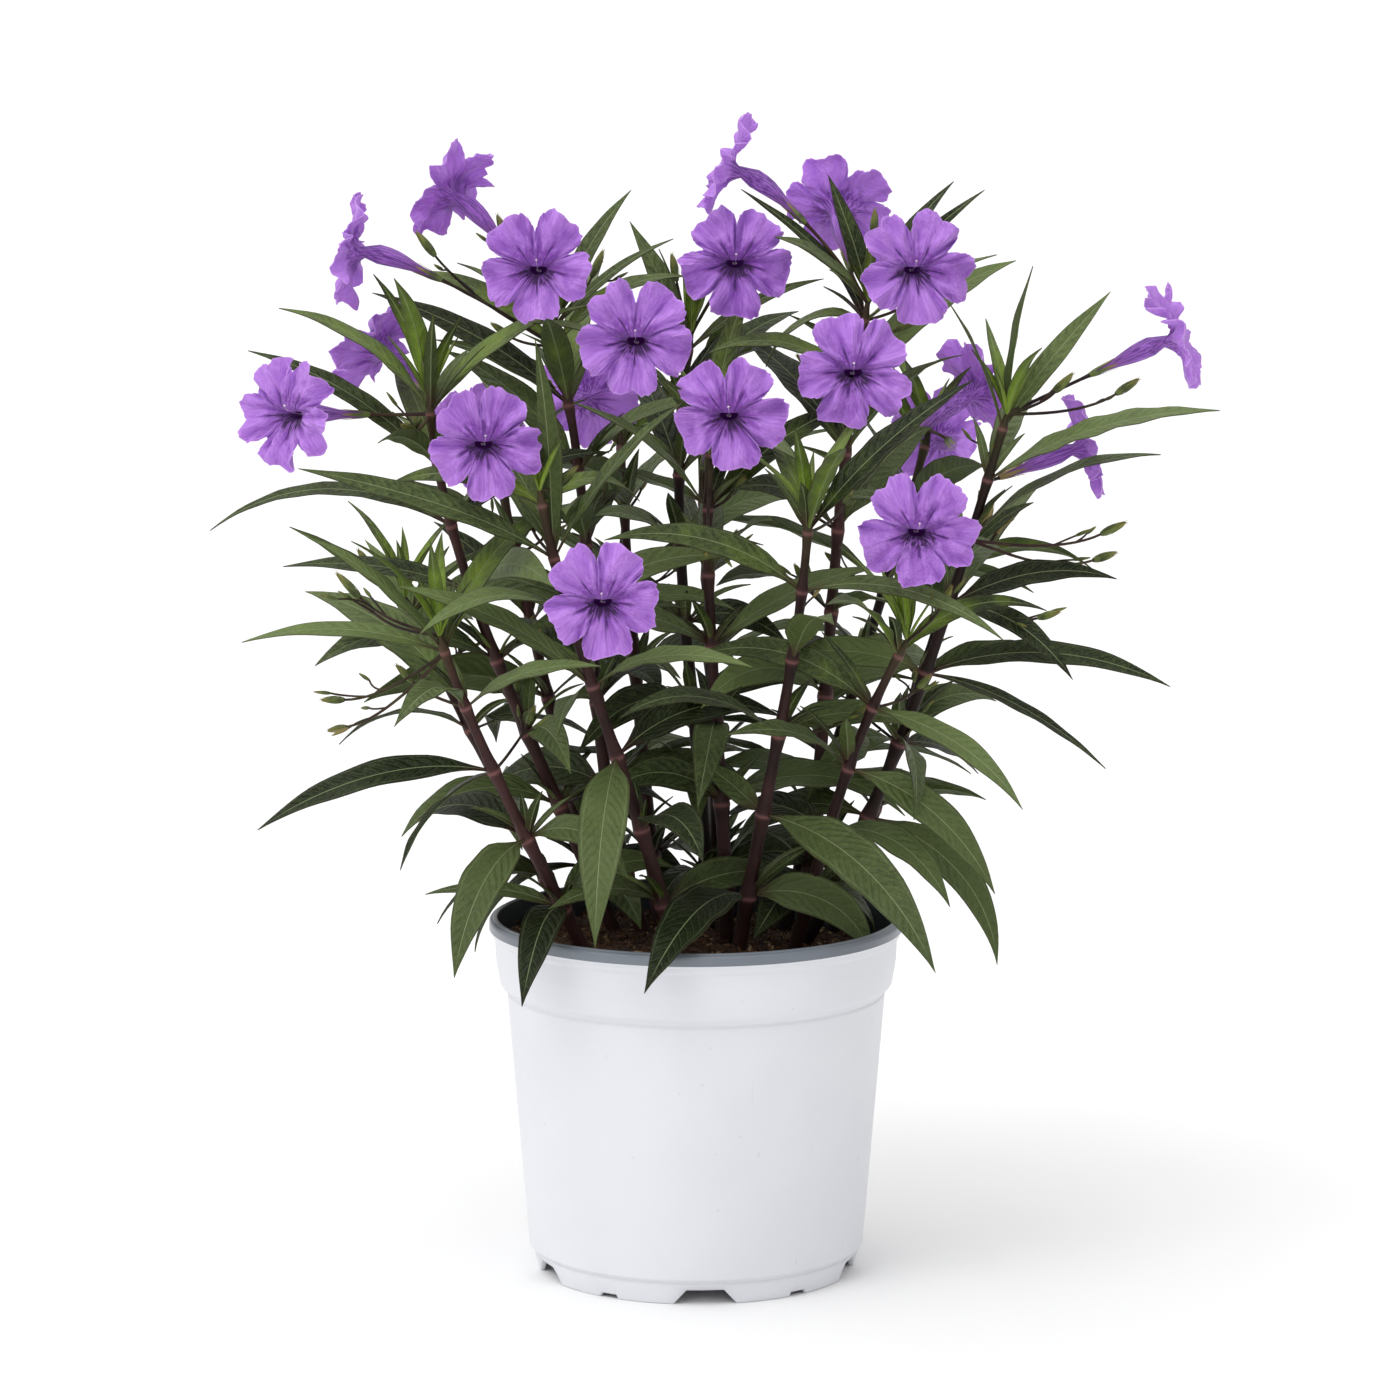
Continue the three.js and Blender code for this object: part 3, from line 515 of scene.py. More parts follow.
def tint(code: str) -> tuple[float, float, float, float]:
    """Turns a colour's six hex digits into the linear values that a shader takes.

    Args:
        code: the digits.

    Returns:
        Red, green, blue and full opacity.
    """
    parts = [int(code[i : i + 2], 16) / 255 for i in (0, 2, 4)]
    linear = [part / 12.92 if part <= 0.04045 else ((part + 0.055) / 1.055) ** 2.4 for part in parts]
    return (*linear, 1.0)


class Board(Wiring):
    """The shader of one material."""

    def __init__(self, name: str) -> None:
        """Starts a material with no nodes.

        Args:
            name: the material's name.
        """
        self.material = bpy.data.materials.new(name)
        self.material.use_nodes = True
        self.material.node_tree.nodes.clear()
        super().__init__(self.material.node_tree)

    def split(self, vector: Socket) -> tuple[Wire, Wire, Wire]:
        """Gives a vector's three numbers."""
        x, y, z = self.add("ShaderNodeSeparateXYZ", {}, {0: vector}).outputs
        return Wire(self, x), Wire(self, y), Wire(self, z)

    def attribute(self, name: str) -> tuple[Wire, Wire, Wire]:
        """Reads one of the mesh's own vectors."""
        return self.split(self.add("ShaderNodeAttribute", {"attribute_name": name}).outputs["Vector"])

    def point(self) -> Socket:
        """Gives the place in the object, in metres."""
        return self.add("ShaderNodeTexCoord").outputs["Object"]

    def vector(self, *parts: Wire | float) -> Socket:
        """Joins three numbers in a vector."""
        return self.add("ShaderNodeCombineXYZ", {}, dict(enumerate(parts))).outputs[0]

    def noise(self, scale: float, detail: float = 2.0, vector: Socket | None = None) -> Wire:
        """Gives soft noise from 0 to 1, laid on the place in the object where no vector is given."""
        sockets = {"Vector": vector or self.point(), "Scale": scale, "Detail": detail}
        return self.number("ShaderNodeTexNoise", {}, sockets)

    def cells(self, scale: float) -> Wire:
        """Gives the distance from the nearest of many scattered points."""
        return self.number("ShaderNodeTexVoronoi", {}, {"Vector": self.point(), "Scale": scale})

    def blend(self, share: Wire | float, first: Paint, second: Paint) -> Socket:
        """Mixes two colours, each a socket or six hex digits.

        Args:
            share: how much of the second shows.
            first: one colour.
            second: the other.

        Returns:
            The mixed colour.
        """
        sockets = {0: share, 6: first, 7: second}
        paints = {key: tint(value) if isinstance(value, str) else value for key, value in sockets.items()}
        return self.add("ShaderNodeMix", {"data_type": "RGBA"}, paints).outputs[2]

    def bump(self, height: Wire, distance: float, strength: float = 1.0) -> Socket:
        """Turns a height into a surface direction. A height of 1 is as deep as the distance, in metres."""
        sockets = {"Height": height, "Distance": distance, "Strength": strength}
        return self.add("ShaderNodeBump", {}, sockets).outputs[0]

    def coat(self, **values: object) -> Material:
        """Closes the board with a Principled shader, with _ for a space in the names of its sockets.

        Args:
            values: a value or a link for each socket.

        Returns:
            The material.
        """
        sockets = {name.replace("_", " "): value for name, value in values.items()}
        shader = self.add("ShaderNodeBsdfPrincipled", {}, sockets)
        self.add("ShaderNodeOutputMaterial", {}, {"Surface": shader.outputs[0]})
        return self.material


class Grower(Wiring):
    """A Geometry Nodes tree with named inputs."""

    def __init__(self, name: str) -> None:
        """Starts a tree that takes geometry and a finish.

        Args:
            name: the tree's name.
        """
        tree = bpy.data.node_groups.new(name, "GeometryNodeTree")
        super().__init__(tree)
        tree.interface.new_socket("Geometry", in_out="INPUT", socket_type="NodeSocketGeometry")
        tree.interface.new_socket("Finish", in_out="INPUT", socket_type="NodeSocketMaterial")
        tree.interface.new_socket("Geometry", in_out="OUTPUT", socket_type="NodeSocketGeometry")
        self.entry = self.add("NodeGroupInput")
        self.exit = self.add("NodeGroupOutput")

    def input(self, name: str, kind: str) -> Socket:
        """Adds an input with a name and a socket type."""
        self.tree.interface.new_socket(name, in_out="INPUT", socket_type=kind)
        return self.entry.outputs[name]

    def named(self, name: str, kind: str) -> Socket:
        """Reads a named attribute of the geometry."""
        return self.add("GeometryNodeInputNamedAttribute", {"data_type": kind}, {"Name": name}).outputs[0]

    def random(self, low: Corner | Socket, high: Corner | Socket, seed: int) -> Socket:
        """Draws a value between two for each element, the same for the same seed."""
        sockets = {0: low, 1: high, "Seed": seed}
        return self.add("FunctionNodeRandomValue", {"data_type": "FLOAT_VECTOR"}, sockets).outputs[0]

    def close(self, geometry: Socket) -> None:
        """Ends the tree in real faces with their finish.

        Args:
            geometry: what the tree has made.
        """
        real = self.add("GeometryNodeRealizeInstances", {}, {"Geometry": geometry})
        smoothed = self.add("GeometryNodeSetShadeSmooth", {}, {"Geometry": real.outputs[0]})
        sockets = {"Geometry": smoothed.outputs[0], "Material": self.entry.outputs["Finish"]}
        dressed = self.add("GeometryNodeSetMaterial", {}, sockets)
        self.tree.links.new(dressed.outputs[0], self.exit.inputs[0])

    def grow(self, name: str, source: Piece, values: dict[str, object]) -> Piece:
        """Runs the tree on an object, which is then removed.

        Args:
            name: the name of what grows.
            source: what the tree takes as its geometry.
            values: a value for each named input.

        Returns:
            The result as an object with a plain mesh.
        """
        modifier = source.modifiers.new(self.tree.name, "NODES")
        modifier.node_group = self.tree
        for item in self.tree.interface.items_tree:
            if item.in_out == "INPUT" and item.name in values:
                modifier[item.identifier] = values[item.name]
        source.update_tag()
        mesh = evaluated(source)
        source.modifiers.remove(modifier)
        bpy.data.objects.remove(source)
        mesh.name = name
        return placed(name, mesh)


def stalk_grower() -> Grower:
    """Makes the tree that turns lines with a radius at each point into round stalks.

    Returns:
        A tree with the input Sides.
    """
    grower = Grower("stalks")
    sides = grower.input("Sides", "NodeSocketInt")
    line = grower.add("GeometryNodeMeshToCurve", {}, {"Mesh": grower.entry.outputs["Geometry"]})
    ring = grower.add("GeometryNodeCurvePrimitiveCircle", {}, {"Resolution": sides, "Radius": 1.0})
    radius = grower.named("radius_m", "FLOAT")
    sockets = {"Curve": line.outputs[0], "Profile Curve": ring.outputs[0], "Scale": radius, "Fill Caps": True}
    grower.close(grower.add("GeometryNodeCurveToMesh", {}, sockets).outputs[0])
    return grower


def whorl_grower() -> Grower:
    """Makes the tree that sets a copy of one piece at each point, turned along the point's aim.

    Returns:
        A tree with the input Whorl, the piece that is copied.
    """
    grower = Grower("whorls")
    whorl = grower.input("Whorl", "NodeSocketObject")
    shape = grower.add("GeometryNodeObjectInfo", {}, {"Object": whorl})
    points = grower.add("GeometryNodeMeshToPoints", {}, {"Mesh": grower.entry.outputs["Geometry"]})
    aim = {"Vector": grower.named("aim", "FLOAT_VECTOR")}
    turn = grower.add("FunctionNodeAlignRotationToVector", {"axis": "Z"}, aim)
    sockets = {
        "Points": points.outputs[0],
        "Instance": shape.outputs["Geometry"],
        "Rotation": turn.outputs[0],
        "Scale": grower.named("size", "FLOAT_VECTOR"),
    }
    grower.close(grower.add("GeometryNodeInstanceOnPoints", {}, sockets).outputs[0])
    return grower


def crumb_grower() -> Grower:
    """Makes the tree that scatters rough crumbs over a surface.

    Returns:
        A tree with the inputs Density, Smallest, Largest, Roughness and Seed.
    """
    grower = Grower("crumbs")
    density = grower.input("Density", "NodeSocketFloat")
    smallest = grower.input("Smallest", "NodeSocketVector")
    largest = grower.input("Largest", "NodeSocketVector")
    roughness = grower.input("Roughness", "NodeSocketFloat")
    seed = grower.input("Seed", "NodeSocketInt")
    sockets = {"Mesh": grower.entry.outputs["Geometry"], "Density": density, "Seed": seed}
    points = grower.add("GeometryNodeDistributePointsOnFaces", {}, sockets)
    ball = grower.add("GeometryNodeMeshIcoSphere", {}, {"Radius": 1.0, "Subdivisions": 1})
    turn = grower.random((0.0, 0.0, 0.0), (1.2, 1.2, math.tau), 1)
    sockets = {
        "Points": points.outputs["Points"],
        "Instance": ball.outputs["Mesh"],
        "Rotation": turn,
        "Scale": grower.random(smallest, largest, 2),
    }
    crumbs = grower.add("GeometryNodeInstanceOnPoints", {}, sockets)
    tone = grower.random((0.0, 0.0, 0.0), (1.0, 1.0, 1.0), 3)
    settings = {"data_type": "FLOAT_VECTOR", "domain": "INSTANCE"}
    sockets = {"Geometry": crumbs.outputs[0], "Name": "nature", "Value": tone}
    toned = grower.add("GeometryNodeStoreNamedAttribute", settings, sockets)
    real = grower.add("GeometryNodeRealizeInstances", {}, {"Geometry": toned.outputs[0]})
    noise = grower.add("ShaderNodeTexNoise", {}, {"Scale": 900.0, "Detail": 1.0})
    settings = {"operation": "SUBTRACT"}
    centred = grower.add("ShaderNodeVectorMath", settings, {0: noise.outputs["Color"], 1: (0.5, 0.5, 0.5)})
    sockets = {0: centred.outputs[0], "Scale": roughness}
    push = grower.add("ShaderNodeVectorMath", {"operation": "SCALE"}, sockets)
    sockets = {"Geometry": real.outputs[0], "Offset": push.outputs[0]}
    grower.close(grower.add("GeometryNodeSetPosition", {}, sockets).outputs[0])
    return grower


# Finishes


@dataclass(frozen=True)
class LeafFinish:
    """The satin upper face or the dull underside of the leaves."""

    name: str
    deep: str
    fresh: str
    young: str
    vein: str
    edge: str
    stalk: str
    shine: float
    roughness: float
    vein_strength: float
    relief: float

    VEIN_SPACING = 5.6

    def material(self) -> Material:
        """Makes the material, with veins that follow each blade and painted shade on the lower leaves.

        Returns:
            The material.
        """
        board = Board(self.name)
        along, across, half = board.attribute("place")
        tone, youth, share = board.attribute("nature")
        side = abs(across)
        reach = side / half
        wobble = board.noise(140.0)
        mottle = board.noise(520.0, 4.0)
        cloud = board.noise(75.0)
        fine = board.noise(2600.0, 2.0)
        midrib = side.fade(0.08, 0.4) * share.fade(0.75, 1.0)
        slant = along - side * 1.1 - side * side * 0.09 + wobble * 4.0 + (across * 9.0).math("SIGN") * 1.6
        veins = slant.lines(self.VEIN_SPACING, 0.11) * side.rise(0.3, 0.9) * reach.fade(0.72, 0.9)
        margin = abs(reach - 0.84).fade(0.0, 0.05) * side.rise(1.6, 2.4) * 0.6
        veins = (veins + margin).math("MINIMUM", 1.0)
        quilt = (slant * (math.tau / self.VEIN_SPACING)).math("COSINE")
        quilt = quilt * side.rise(0.4, 1.6) * reach.fade(0.6, 1.0)
        pebble = board.cells(1100.0)
        dapple = tone * 0.7 + cloud * 0.28 + mottle * 0.46 - pebble * 0.16 + quilt * 0.05
        colour = board.blend(dapple.rise(0.2, 1.0), self.deep, self.fresh)
        # Painted shade: leaves low down, near the pot, are darkened towards the deep green by their height.
        painted_shade = board.split(board.point())[2].fade(0.13, 0.27) * 0.46
        colour = board.blend(painted_shade, colour, self.deep)
        fresh = youth * (1 - share * 0.62) * (1.15 - reach * 0.35) + (cloud - 0.62) * 0.7
        colour = board.blend(fresh.rise(0.12, 1.0), colour, self.young)
        colour = board.blend(veins * self.vein_strength, colour, self.vein)
        stripes = (side / 1.1 + wobble * 0.5).lines(1.0, 0.3) * youth.rise(0.3, 0.8) * share.fade(0.3, 0.6)
        colour = board.blend(stripes * 0.5, colour, self.deep)
        colour = board.blend(midrib * 0.55, colour, self.vein)
        colour = board.blend(reach.rise(0.88, 1.0) * 0.5, colour, self.edge)
        stalk = along.fade(3.0, 15.0) * youth.fade(0.3, 0.8) * (0.9 - cloud * 0.5)
        colour = board.blend(stalk, colour, self.stalk)
        height = mottle * 0.4 + fine * 0.2 + pebble * 0.35 - quilt * self.relief * 0.4
        height = height + (veins * 0.5 + midrib) * self.relief
        rough = self.roughness + (mottle - 0.5) * 0.3 - youth * 0.05
        return board.coat(
            Base_Color=colour,
            Roughness=rough,
            Normal=board.bump(height, 0.0006, 0.8),
            Specular_IOR_Level=self.shine,
            Subsurface_Weight=0.06,
            Subsurface_Radius=(0.6, 1.0, 0.3),
            Subsurface_Scale=0.0008,
        )


@dataclass(frozen=True)
class StalkFinish:
    """The bark of the stems, the flower stalks and the bodies of the buds."""

    bark: str = "1b0c0a"
    bark_light: str = "462a28"
    ring: str = "8e5f5d"
    green: str = "4f5228"
    bud: str = "6a7030"

    def material(self) -> Material:
        """Makes the material, with fine grooves along each stalk and a pale ring at each joint.

        Returns:
            The material.
        """
        board = Board("stalk_bark")
        _, ring, _ = board.attribute("place")
        tone, youth, kind = board.attribute("nature")
        x, y, z = board.split(board.point())
        streak = board.noise(1.0, 3.0, board.vector(x * 900.0, y * 900.0, z * 60.0))
        patch = board.noise(70.0, 3.0)
        bark = board.blend((patch * 0.7 + tone * 0.4).rise(0.3, 0.95), self.bark, self.bark_light)
        bark = board.blend(streak.rise(0.55, 0.8) * 0.35, bark, self.bark_light)
        bark = board.blend(youth.rise(0.85, 1.0) * 0.3, bark, self.green)
        thin = board.blend(patch.rise(0.35, 0.7), bark, self.green)
        colour = board.blend(kind.rise(0.2, 1.0) * 0.4, bark, thin)
        colour = board.blend(kind.rise(1.2, 1.9), colour, self.bud)
        colour = board.blend(ring * 0.6, colour, self.ring)
        speckle = board.noise(3000.0, 2.0)
        height = streak * 0.8 + speckle * 0.3
        rough = 0.44 + streak * 0.2
        normal = board.bump(height, 0.00025, 0.6)
        return board.coat(Base_Color=colour, Roughness=rough, Normal=normal, Specular_IOR_Level=0.22)


@dataclass(frozen=True)
class SepalFinish:
    """The narrow green sepals with tan tips."""

    green: str = "6d7c3f"
    dark: str = "41492a"
    tip: str = "a08a5c"

    def material(self) -> Material:
        """Makes the material.

        Returns:
            The material.
        """
        board = Board("sepal_green")
        along, across, _ = board.attribute("place")
        patch = board.noise(260.0, 3.0)
        colour = board.blend(patch.rise(0.3, 0.75), self.dark, self.green)
        colour = board.blend(abs(across).fade(0.0, 0.35) * 0.4, colour, self.dark)
        withered = board.noise(21.0, 0.0).rise(0.6, 0.66) * 0.85
        colour = board.blend((along.rise(0.45, 1.0) * 0.8).math("MAXIMUM", withered), colour, self.tip)
        height = board.noise(1800.0, 2.0) + abs(across) * 0.5
        normal = board.bump(height, 0.0002, 0.6)
        return board.coat(Base_Color=colour, Roughness=0.55, Normal=normal, Specular_IOR_Level=0.25)


@dataclass(frozen=True)
class PetalFinish:
    """The crinkled violet limb with its dark streaks, or the paler outside of the trumpet."""

    name: str
    lilac: str
    violet: str
    throat: str
    streak: str
    rim: str
    painted_glow: float
    streaks_inside: bool

    def material(self) -> Material:
        """Makes the material, with streaks and fine veins that fan out from the throat, painted shade and
        highlights on its folds and crinkles, and a painted glow.

        Returns:
            The material.
        """
        board = Board(self.name)
        across, distance, fold = board.attribute("place")
        out, cosine, sine = board.attribute("nature")
        tone = board.noise(22.0, 0.0)
        veins = board.noise(1.0, 4.0, board.vector(cosine * 19.0, sine * 19.0, distance * 1.6 + tone * 50.0))
        crinkle = board.noise(620.0, 3.0)
        patch = board.noise(170.0, 2.0)
        fine = board.noise(1.0, 3.0, board.vector(cosine * 42.0, sine * 42.0, distance * 2.6 + tone * 70.0))
        low = 0.5 - sine * 0.5
        high = (1 - low) * distance.fade(0.25, 0.75) * distance.rise(0.02, 0.2)
        deep = distance.fade(0.0, 0.6) * 0.5 + (patch - 0.5) * 0.7 + (tone - 0.5) * 0.9 + 0.14
        # Painted shade: darker in the troughs of the crumples and along the seams, read from the fold value.
        deep = deep + fold.fade(0.25, 0.6) * 0.3 + high * (0.2 + (crinkle - 0.45) * 2.4)
        colour = board.blend(deep.rise(0.0, 1.1), self.lilac, self.violet)
        shown = 0.1 + distance.fade(0.2, 1.0) * 0.24
        # Vein streaks and fine violet streaks, which also stand in as painted shade in the creases; the pale
        # fine streaks are painted highlights on the ridges.
        colour = board.blend(veins.rise(0.48, 0.66) * shown, colour, self.violet)
        colour = board.blend(fine.rise(0.46, 0.6) * 0.2, colour, self.violet)
        colour = board.blend(fine.fade(0.36, 0.46) * 0.2, colour, self.rim)
        colour = board.blend(out.rise(0.95, 1.0) * 0.4, colour, self.rim)
        broad = board.noise(1.0, 2.0, board.vector(cosine * 8.0, sine * 8.0, distance * 0.8 + tone * 30.0))
        if self.streaks_inside:
            spoke = across.fade(0.015, 0.07) * distance.fade(0.34, 0.7) * 0.95
            side_spoke = abs(across - 0.36 - (veins - 0.5) * 0.5).fade(0.0, 0.05)
            side_spoke = side_spoke * distance.fade(0.15, 0.4) * 0.5
            rays = broad.rise(0.46, 0.53) * distance.fade(0.12, 0.58) * low.rise(0.55, 0.85)
            colour = board.blend((spoke + side_spoke + rays).rise(0.0, 1.1), colour, self.streak)
            # The throat colour below the mouth and down the tube: dark rays, and the tube's inside in the
            # throat's deep violet, which also stands in as painted shade in the tube.
            fan = (0.2 + broad.rise(0.44, 0.52)) * distance.fade(0.06, 0.36) * low.rise(0.5, 0.72)
            depth = distance.fade(-0.2, 0.06)
            colour = board.blend((fan * 1.5 + depth).rise(0.0, 1.0), colour, self.throat)
        else:
            stripes = broad.rise(0.46, 0.54) * distance.fade(0.1, 0.7)
            colour = board.blend(stripes * 0.9, colour, self.streak)
            colour = board.blend(distance.fade(-1.0, -0.45) * 0.5, colour, self.throat)
        # Painted glow: on the inside only deep in the tube, standing in for light through the thin trumpet
        # wall; on the outside all over, lifting the shaded backs of the petals.
        lit = distance.fade(-0.1, 0.06) if self.streaks_inside else 1.0
        painted_glow_colour = board.blend(lit, "000000", colour)
        height = veins * 0.7 + fine * 0.5 + crinkle * 0.45 - across.fade(0.0, 0.06) * 0.4
        return board.coat(
            Base_Color=colour,
            Roughness=0.52 + crinkle * 0.2,
            Normal=board.bump(height, 0.0010, 0.9),
            Emission_Color=painted_glow_colour,
            Emission_Strength=self.painted_glow,
            Subsurface_Weight=0.2,
            Subsurface_Radius=(1.0, 0.5, 1.0),
            Subsurface_Scale=0.0007,
            Sheen_Weight=0.1,
        )


@dataclass(frozen=True)
class HeartFinish:
    """The pale stigma and the cream stamens in the throat."""

    pale: str = "efe2ee"
    shade: str = "b48fae"

    def material(self) -> Material:
        """Makes the material.

        Returns:
            The material.
        """
        board = Board("stigma_pale")
        grain = board.noise(1500.0, 2.0)
        colour = board.blend(grain.rise(0.3, 0.8), self.pale, self.shade)
        return board.coat(Base_Color=colour, Roughness=0.5, Normal=board.bump(grain, 0.0002, 0.5))


@dataclass(frozen=True)
class PotFinish:
    """Satin moulded plastic of one colour."""

    name: str
    first: str
    second: str
    roughness: float
    worn: str = "7f868e"

    def material(self) -> Material:
        """Makes the material, with a faint ripple and a few scuffs.

        Returns:
            The material.
        """
        board = Board(self.name)
        x, y, z = board.split(board.point())
        cloud = board.noise(14.0, 2.0)
        ripple = board.noise(1.0, 2.0, board.vector(x * 70.0, y * 70.0, z * 16.0))
        peel = board.noise(1500.0, 2.0)
        scuff = board.noise(1.0, 4.0, board.vector(x * 420.0, y * 420.0, z * 40.0)).rise(0.7, 0.82)
        speck = board.noise(260.0, 1.0).rise(0.77, 0.8)
        colour = board.blend(cloud.rise(0.35, 0.7), self.first, self.second)
        colour = board.blend(scuff * 0.1 + speck * 0.12, colour, self.worn)
        height = ripple * 0.5 + peel * 0.06
        rough = self.roughness + cloud * 0.1 + scuff * 0.2
        return board.coat(Base_Color=colour, Roughness=rough, Normal=board.bump(height, 0.0005, 0.25))


@dataclass(frozen=True)
class SoilFinish:
    """Dark peat and bark: the bed, or its loose crumbs with some light ones among them."""

    name: str
    dark: str = "2c1b11"
    brown: str = "6b4a34"
    light: str = "bfa27a"
    bark: str = "75502f"
    fleck: str = "5a4630"
    crumbs: bool = False

    def material(self) -> Material:
        """Makes the material.

        Returns:
            The material.
        """
        board = Board(self.name)
        grain = board.noise(700.0, 4.0)
        patch = board.noise(90.0, 3.0)
        colour = board.blend((grain * 0.6 + patch * 0.5).rise(0.35, 0.8), self.dark, self.brown)
        if self.crumbs:
            tone, warm, _ = board.attribute("nature")
            colour = board.blend(tone.rise(0.3, 0.9) * 0.6, colour, self.bark)
            colour = board.blend(warm.rise(0.74, 0.92) * 0.9, colour, self.light)
        else:
            colour = board.blend(grain.rise(0.66, 0.74), colour, self.fleck)
        height = grain + board.cells(380.0)
        return board.coat(Base_Color=colour, Roughness=0.9, Normal=board.bump(height, 0.0016, 0.8))


@dataclass(frozen=True)
class FloorFinish:
    """Plain pale floor."""

    pale: str = "f0f0f0"
    paler: str = "f2f2f2"

    def material(self) -> Material:
        """Makes the material.

        Returns:
            The material.
        """
        board = Board("floor_pale")
        colour = board.blend(board.noise(0.5), self.pale, self.paler)
        return board.coat(Base_Color=colour, Roughness=0.95, Specular_IOR_Level=0.05)


LEAF_TOP = LeafFinish(
    "leaf_top", "101903", "667644", "8fae24", "a0ad7e", "2a2419", "42201f",
    shine=0.19, roughness=0.38, vein_strength=0.24, relief=-0.8,
)
LEAF_BACK = LeafFinish(
    "leaf_back", "2c3719", "515f33", "86a52c", "929c70", "3a2f20", "4c2a2c",
    shine=0.18, roughness=0.6, vein_strength=0.2, relief=0.6,
)
PETAL_INSIDE = PetalFinish(
    "petal_inside", "b57ddb", "8340ac", "401456", "571f7c", "cb9fe6", painted_glow=0.22, streaks_inside=True
)
PETAL_OUTSIDE = PetalFinish(
    "petal_outside", "b57fdb", "9253b8", "6d4160", "5f2c86", "c59ae0", painted_glow=0.2, streaks_inside=False
)
POT_FINISHES = (
    PotFinish("pot_white", "e0e1e6", "dcdde3", 0.36),
    PotFinish("pot_lip", "646a73", "767d86", 0.26),
    PotFinish("pot_inside", "333a41", "434a52", 0.36),
)


# The plan of the plant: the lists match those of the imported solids


@dataclass(frozen=True)
class Stem:
    """A leafy stem through four evenly spaced points, with pairs of leaves that turn from node to node."""

    path: tuple[Corner, Corner, Corner, Corner]
    pairs: int
    turn: float

    RADIUS = (3.6, 1.7)
    START = 98.0
    SOIL_TOP = 136.0
    FIRST_PAIR_SHARE = 0.6
    PAIRS_CLOSER_UPWARDS = 1.2

    def points(self, shares: Sequence[float]) -> Array:
        """Gives points of the stem.

        Args:
            shares: how far along it each lies, from 0 to 1.

        Returns:
            One point for each share.
        """
        s = 3 * np.asarray(shares, float)[:, None]
        weights = (
            -(s - 1) * (s - 2) * (s - 3) / 6,
            s * (s - 2) * (s - 3) / 2,
            -s * (s - 1) * (s - 3) / 2,
            s * (s - 1) * (s - 2) / 6,
        )
        return sum(weight * np.array(corner, float) for weight, corner in zip(weights, self.path))

    def point(self, share: float) -> Array:
        """Gives one point of the stem."""
        return self.points([share])[0]

    def node_share(self, node: int) -> float:
        """Gives how far along the stem a pair of leaves grows.

        Args:
            node: the pair, counted from the lowest.

        Returns:
            A share of the stem, from 0 to 1.
        """
        if node >= self.pairs:
            return 1.0
        soil = (self.SOIL_TOP - self.START) / (self.path[3][2] - self.START)
        share = (node + self.FIRST_PAIR_SHARE) / self.pairs
        return soil + (1 - soil) * (1 - (1 - share) ** self.PAIRS_CLOSER_UPWARDS)

    def node_point(self, node: int) -> Array:
        """Gives the point where a pair of leaves grows."""
        return self.point(self.node_share(node))


STEMS = {
    "A": Stem(((-28, -22, 98), (-53, -37, 155), (-79, -53, 212), (-100, -70, 270)), 5, 60),
    "B": Stem(((-19, 18, 98), (-54, 11, 185), (-88, -4, 272), (-106, -20, 358)), 8, 100),
    "C": Stem(((-4, -24, 98), (-18, -32, 174), (-42, -45, 250), (-61, -60, 326)), 7, 20),
    "D": Stem(((-5, 12, 98), (-36, 9, 196), (-44, 6, 290), (-58, 0, 384)), 8, 75),
    "E": Stem(((3, 24, 98), (2, 26, 192), (-6, 28, 286), (-2, 30, 380)), 8, 30),
    "F": Stem(((12, 4, 98), (11, -2, 180), (6, -7, 262), (6, -10, 341)), 7, 110),
    "G": Stem(((13, -12, 98), (23, -26, 171), (36, -42, 244), (44, -60, 316)), 6, 10),
    "H": Stem(((29, -2, 98), (45, -18, 154), (60, -36, 210), (83, -55, 266)), 5, 50),
    "I": Stem(((24, 8, 98), (68, -4, 183), (99, -16, 268), (123, -30, 353)), 8, 80),
    "J": Stem(((38, 22, 98), (50, 19, 197), (57, 15, 295), (69, 10, 394)), 8, 40),
    "K": Stem(((-12, 40, 98), (-20, 58, 177), (-27, 78, 256), (-32, 100, 334)), 6, 65),
    "L": Stem(((6, 48, 98), (8, 72, 178), (5, 100, 258), (2, 125, 335)), 6, 15),
    "M": Stem(((28, 38, 98), (50, 56, 178), (75, 78, 257), (98, 100, 334)), 6, 95),
    "N": Stem(((-30, 34, 98), (-48, 52, 170), (-66, 70, 243), (-82, 90, 314)), 6, 35),
    "O": Stem(((46, 30, 98), (66, 40, 160), (88, 50, 222), (109, 60, 284)), 6, 70),
    "P": Stem(((-36, 22, 98), (-62, 30, 156), (-92, 38, 214), (-120, 45, 270)), 5, 25),
}

# The leaves that show most: leaf pair, tip, width and arch

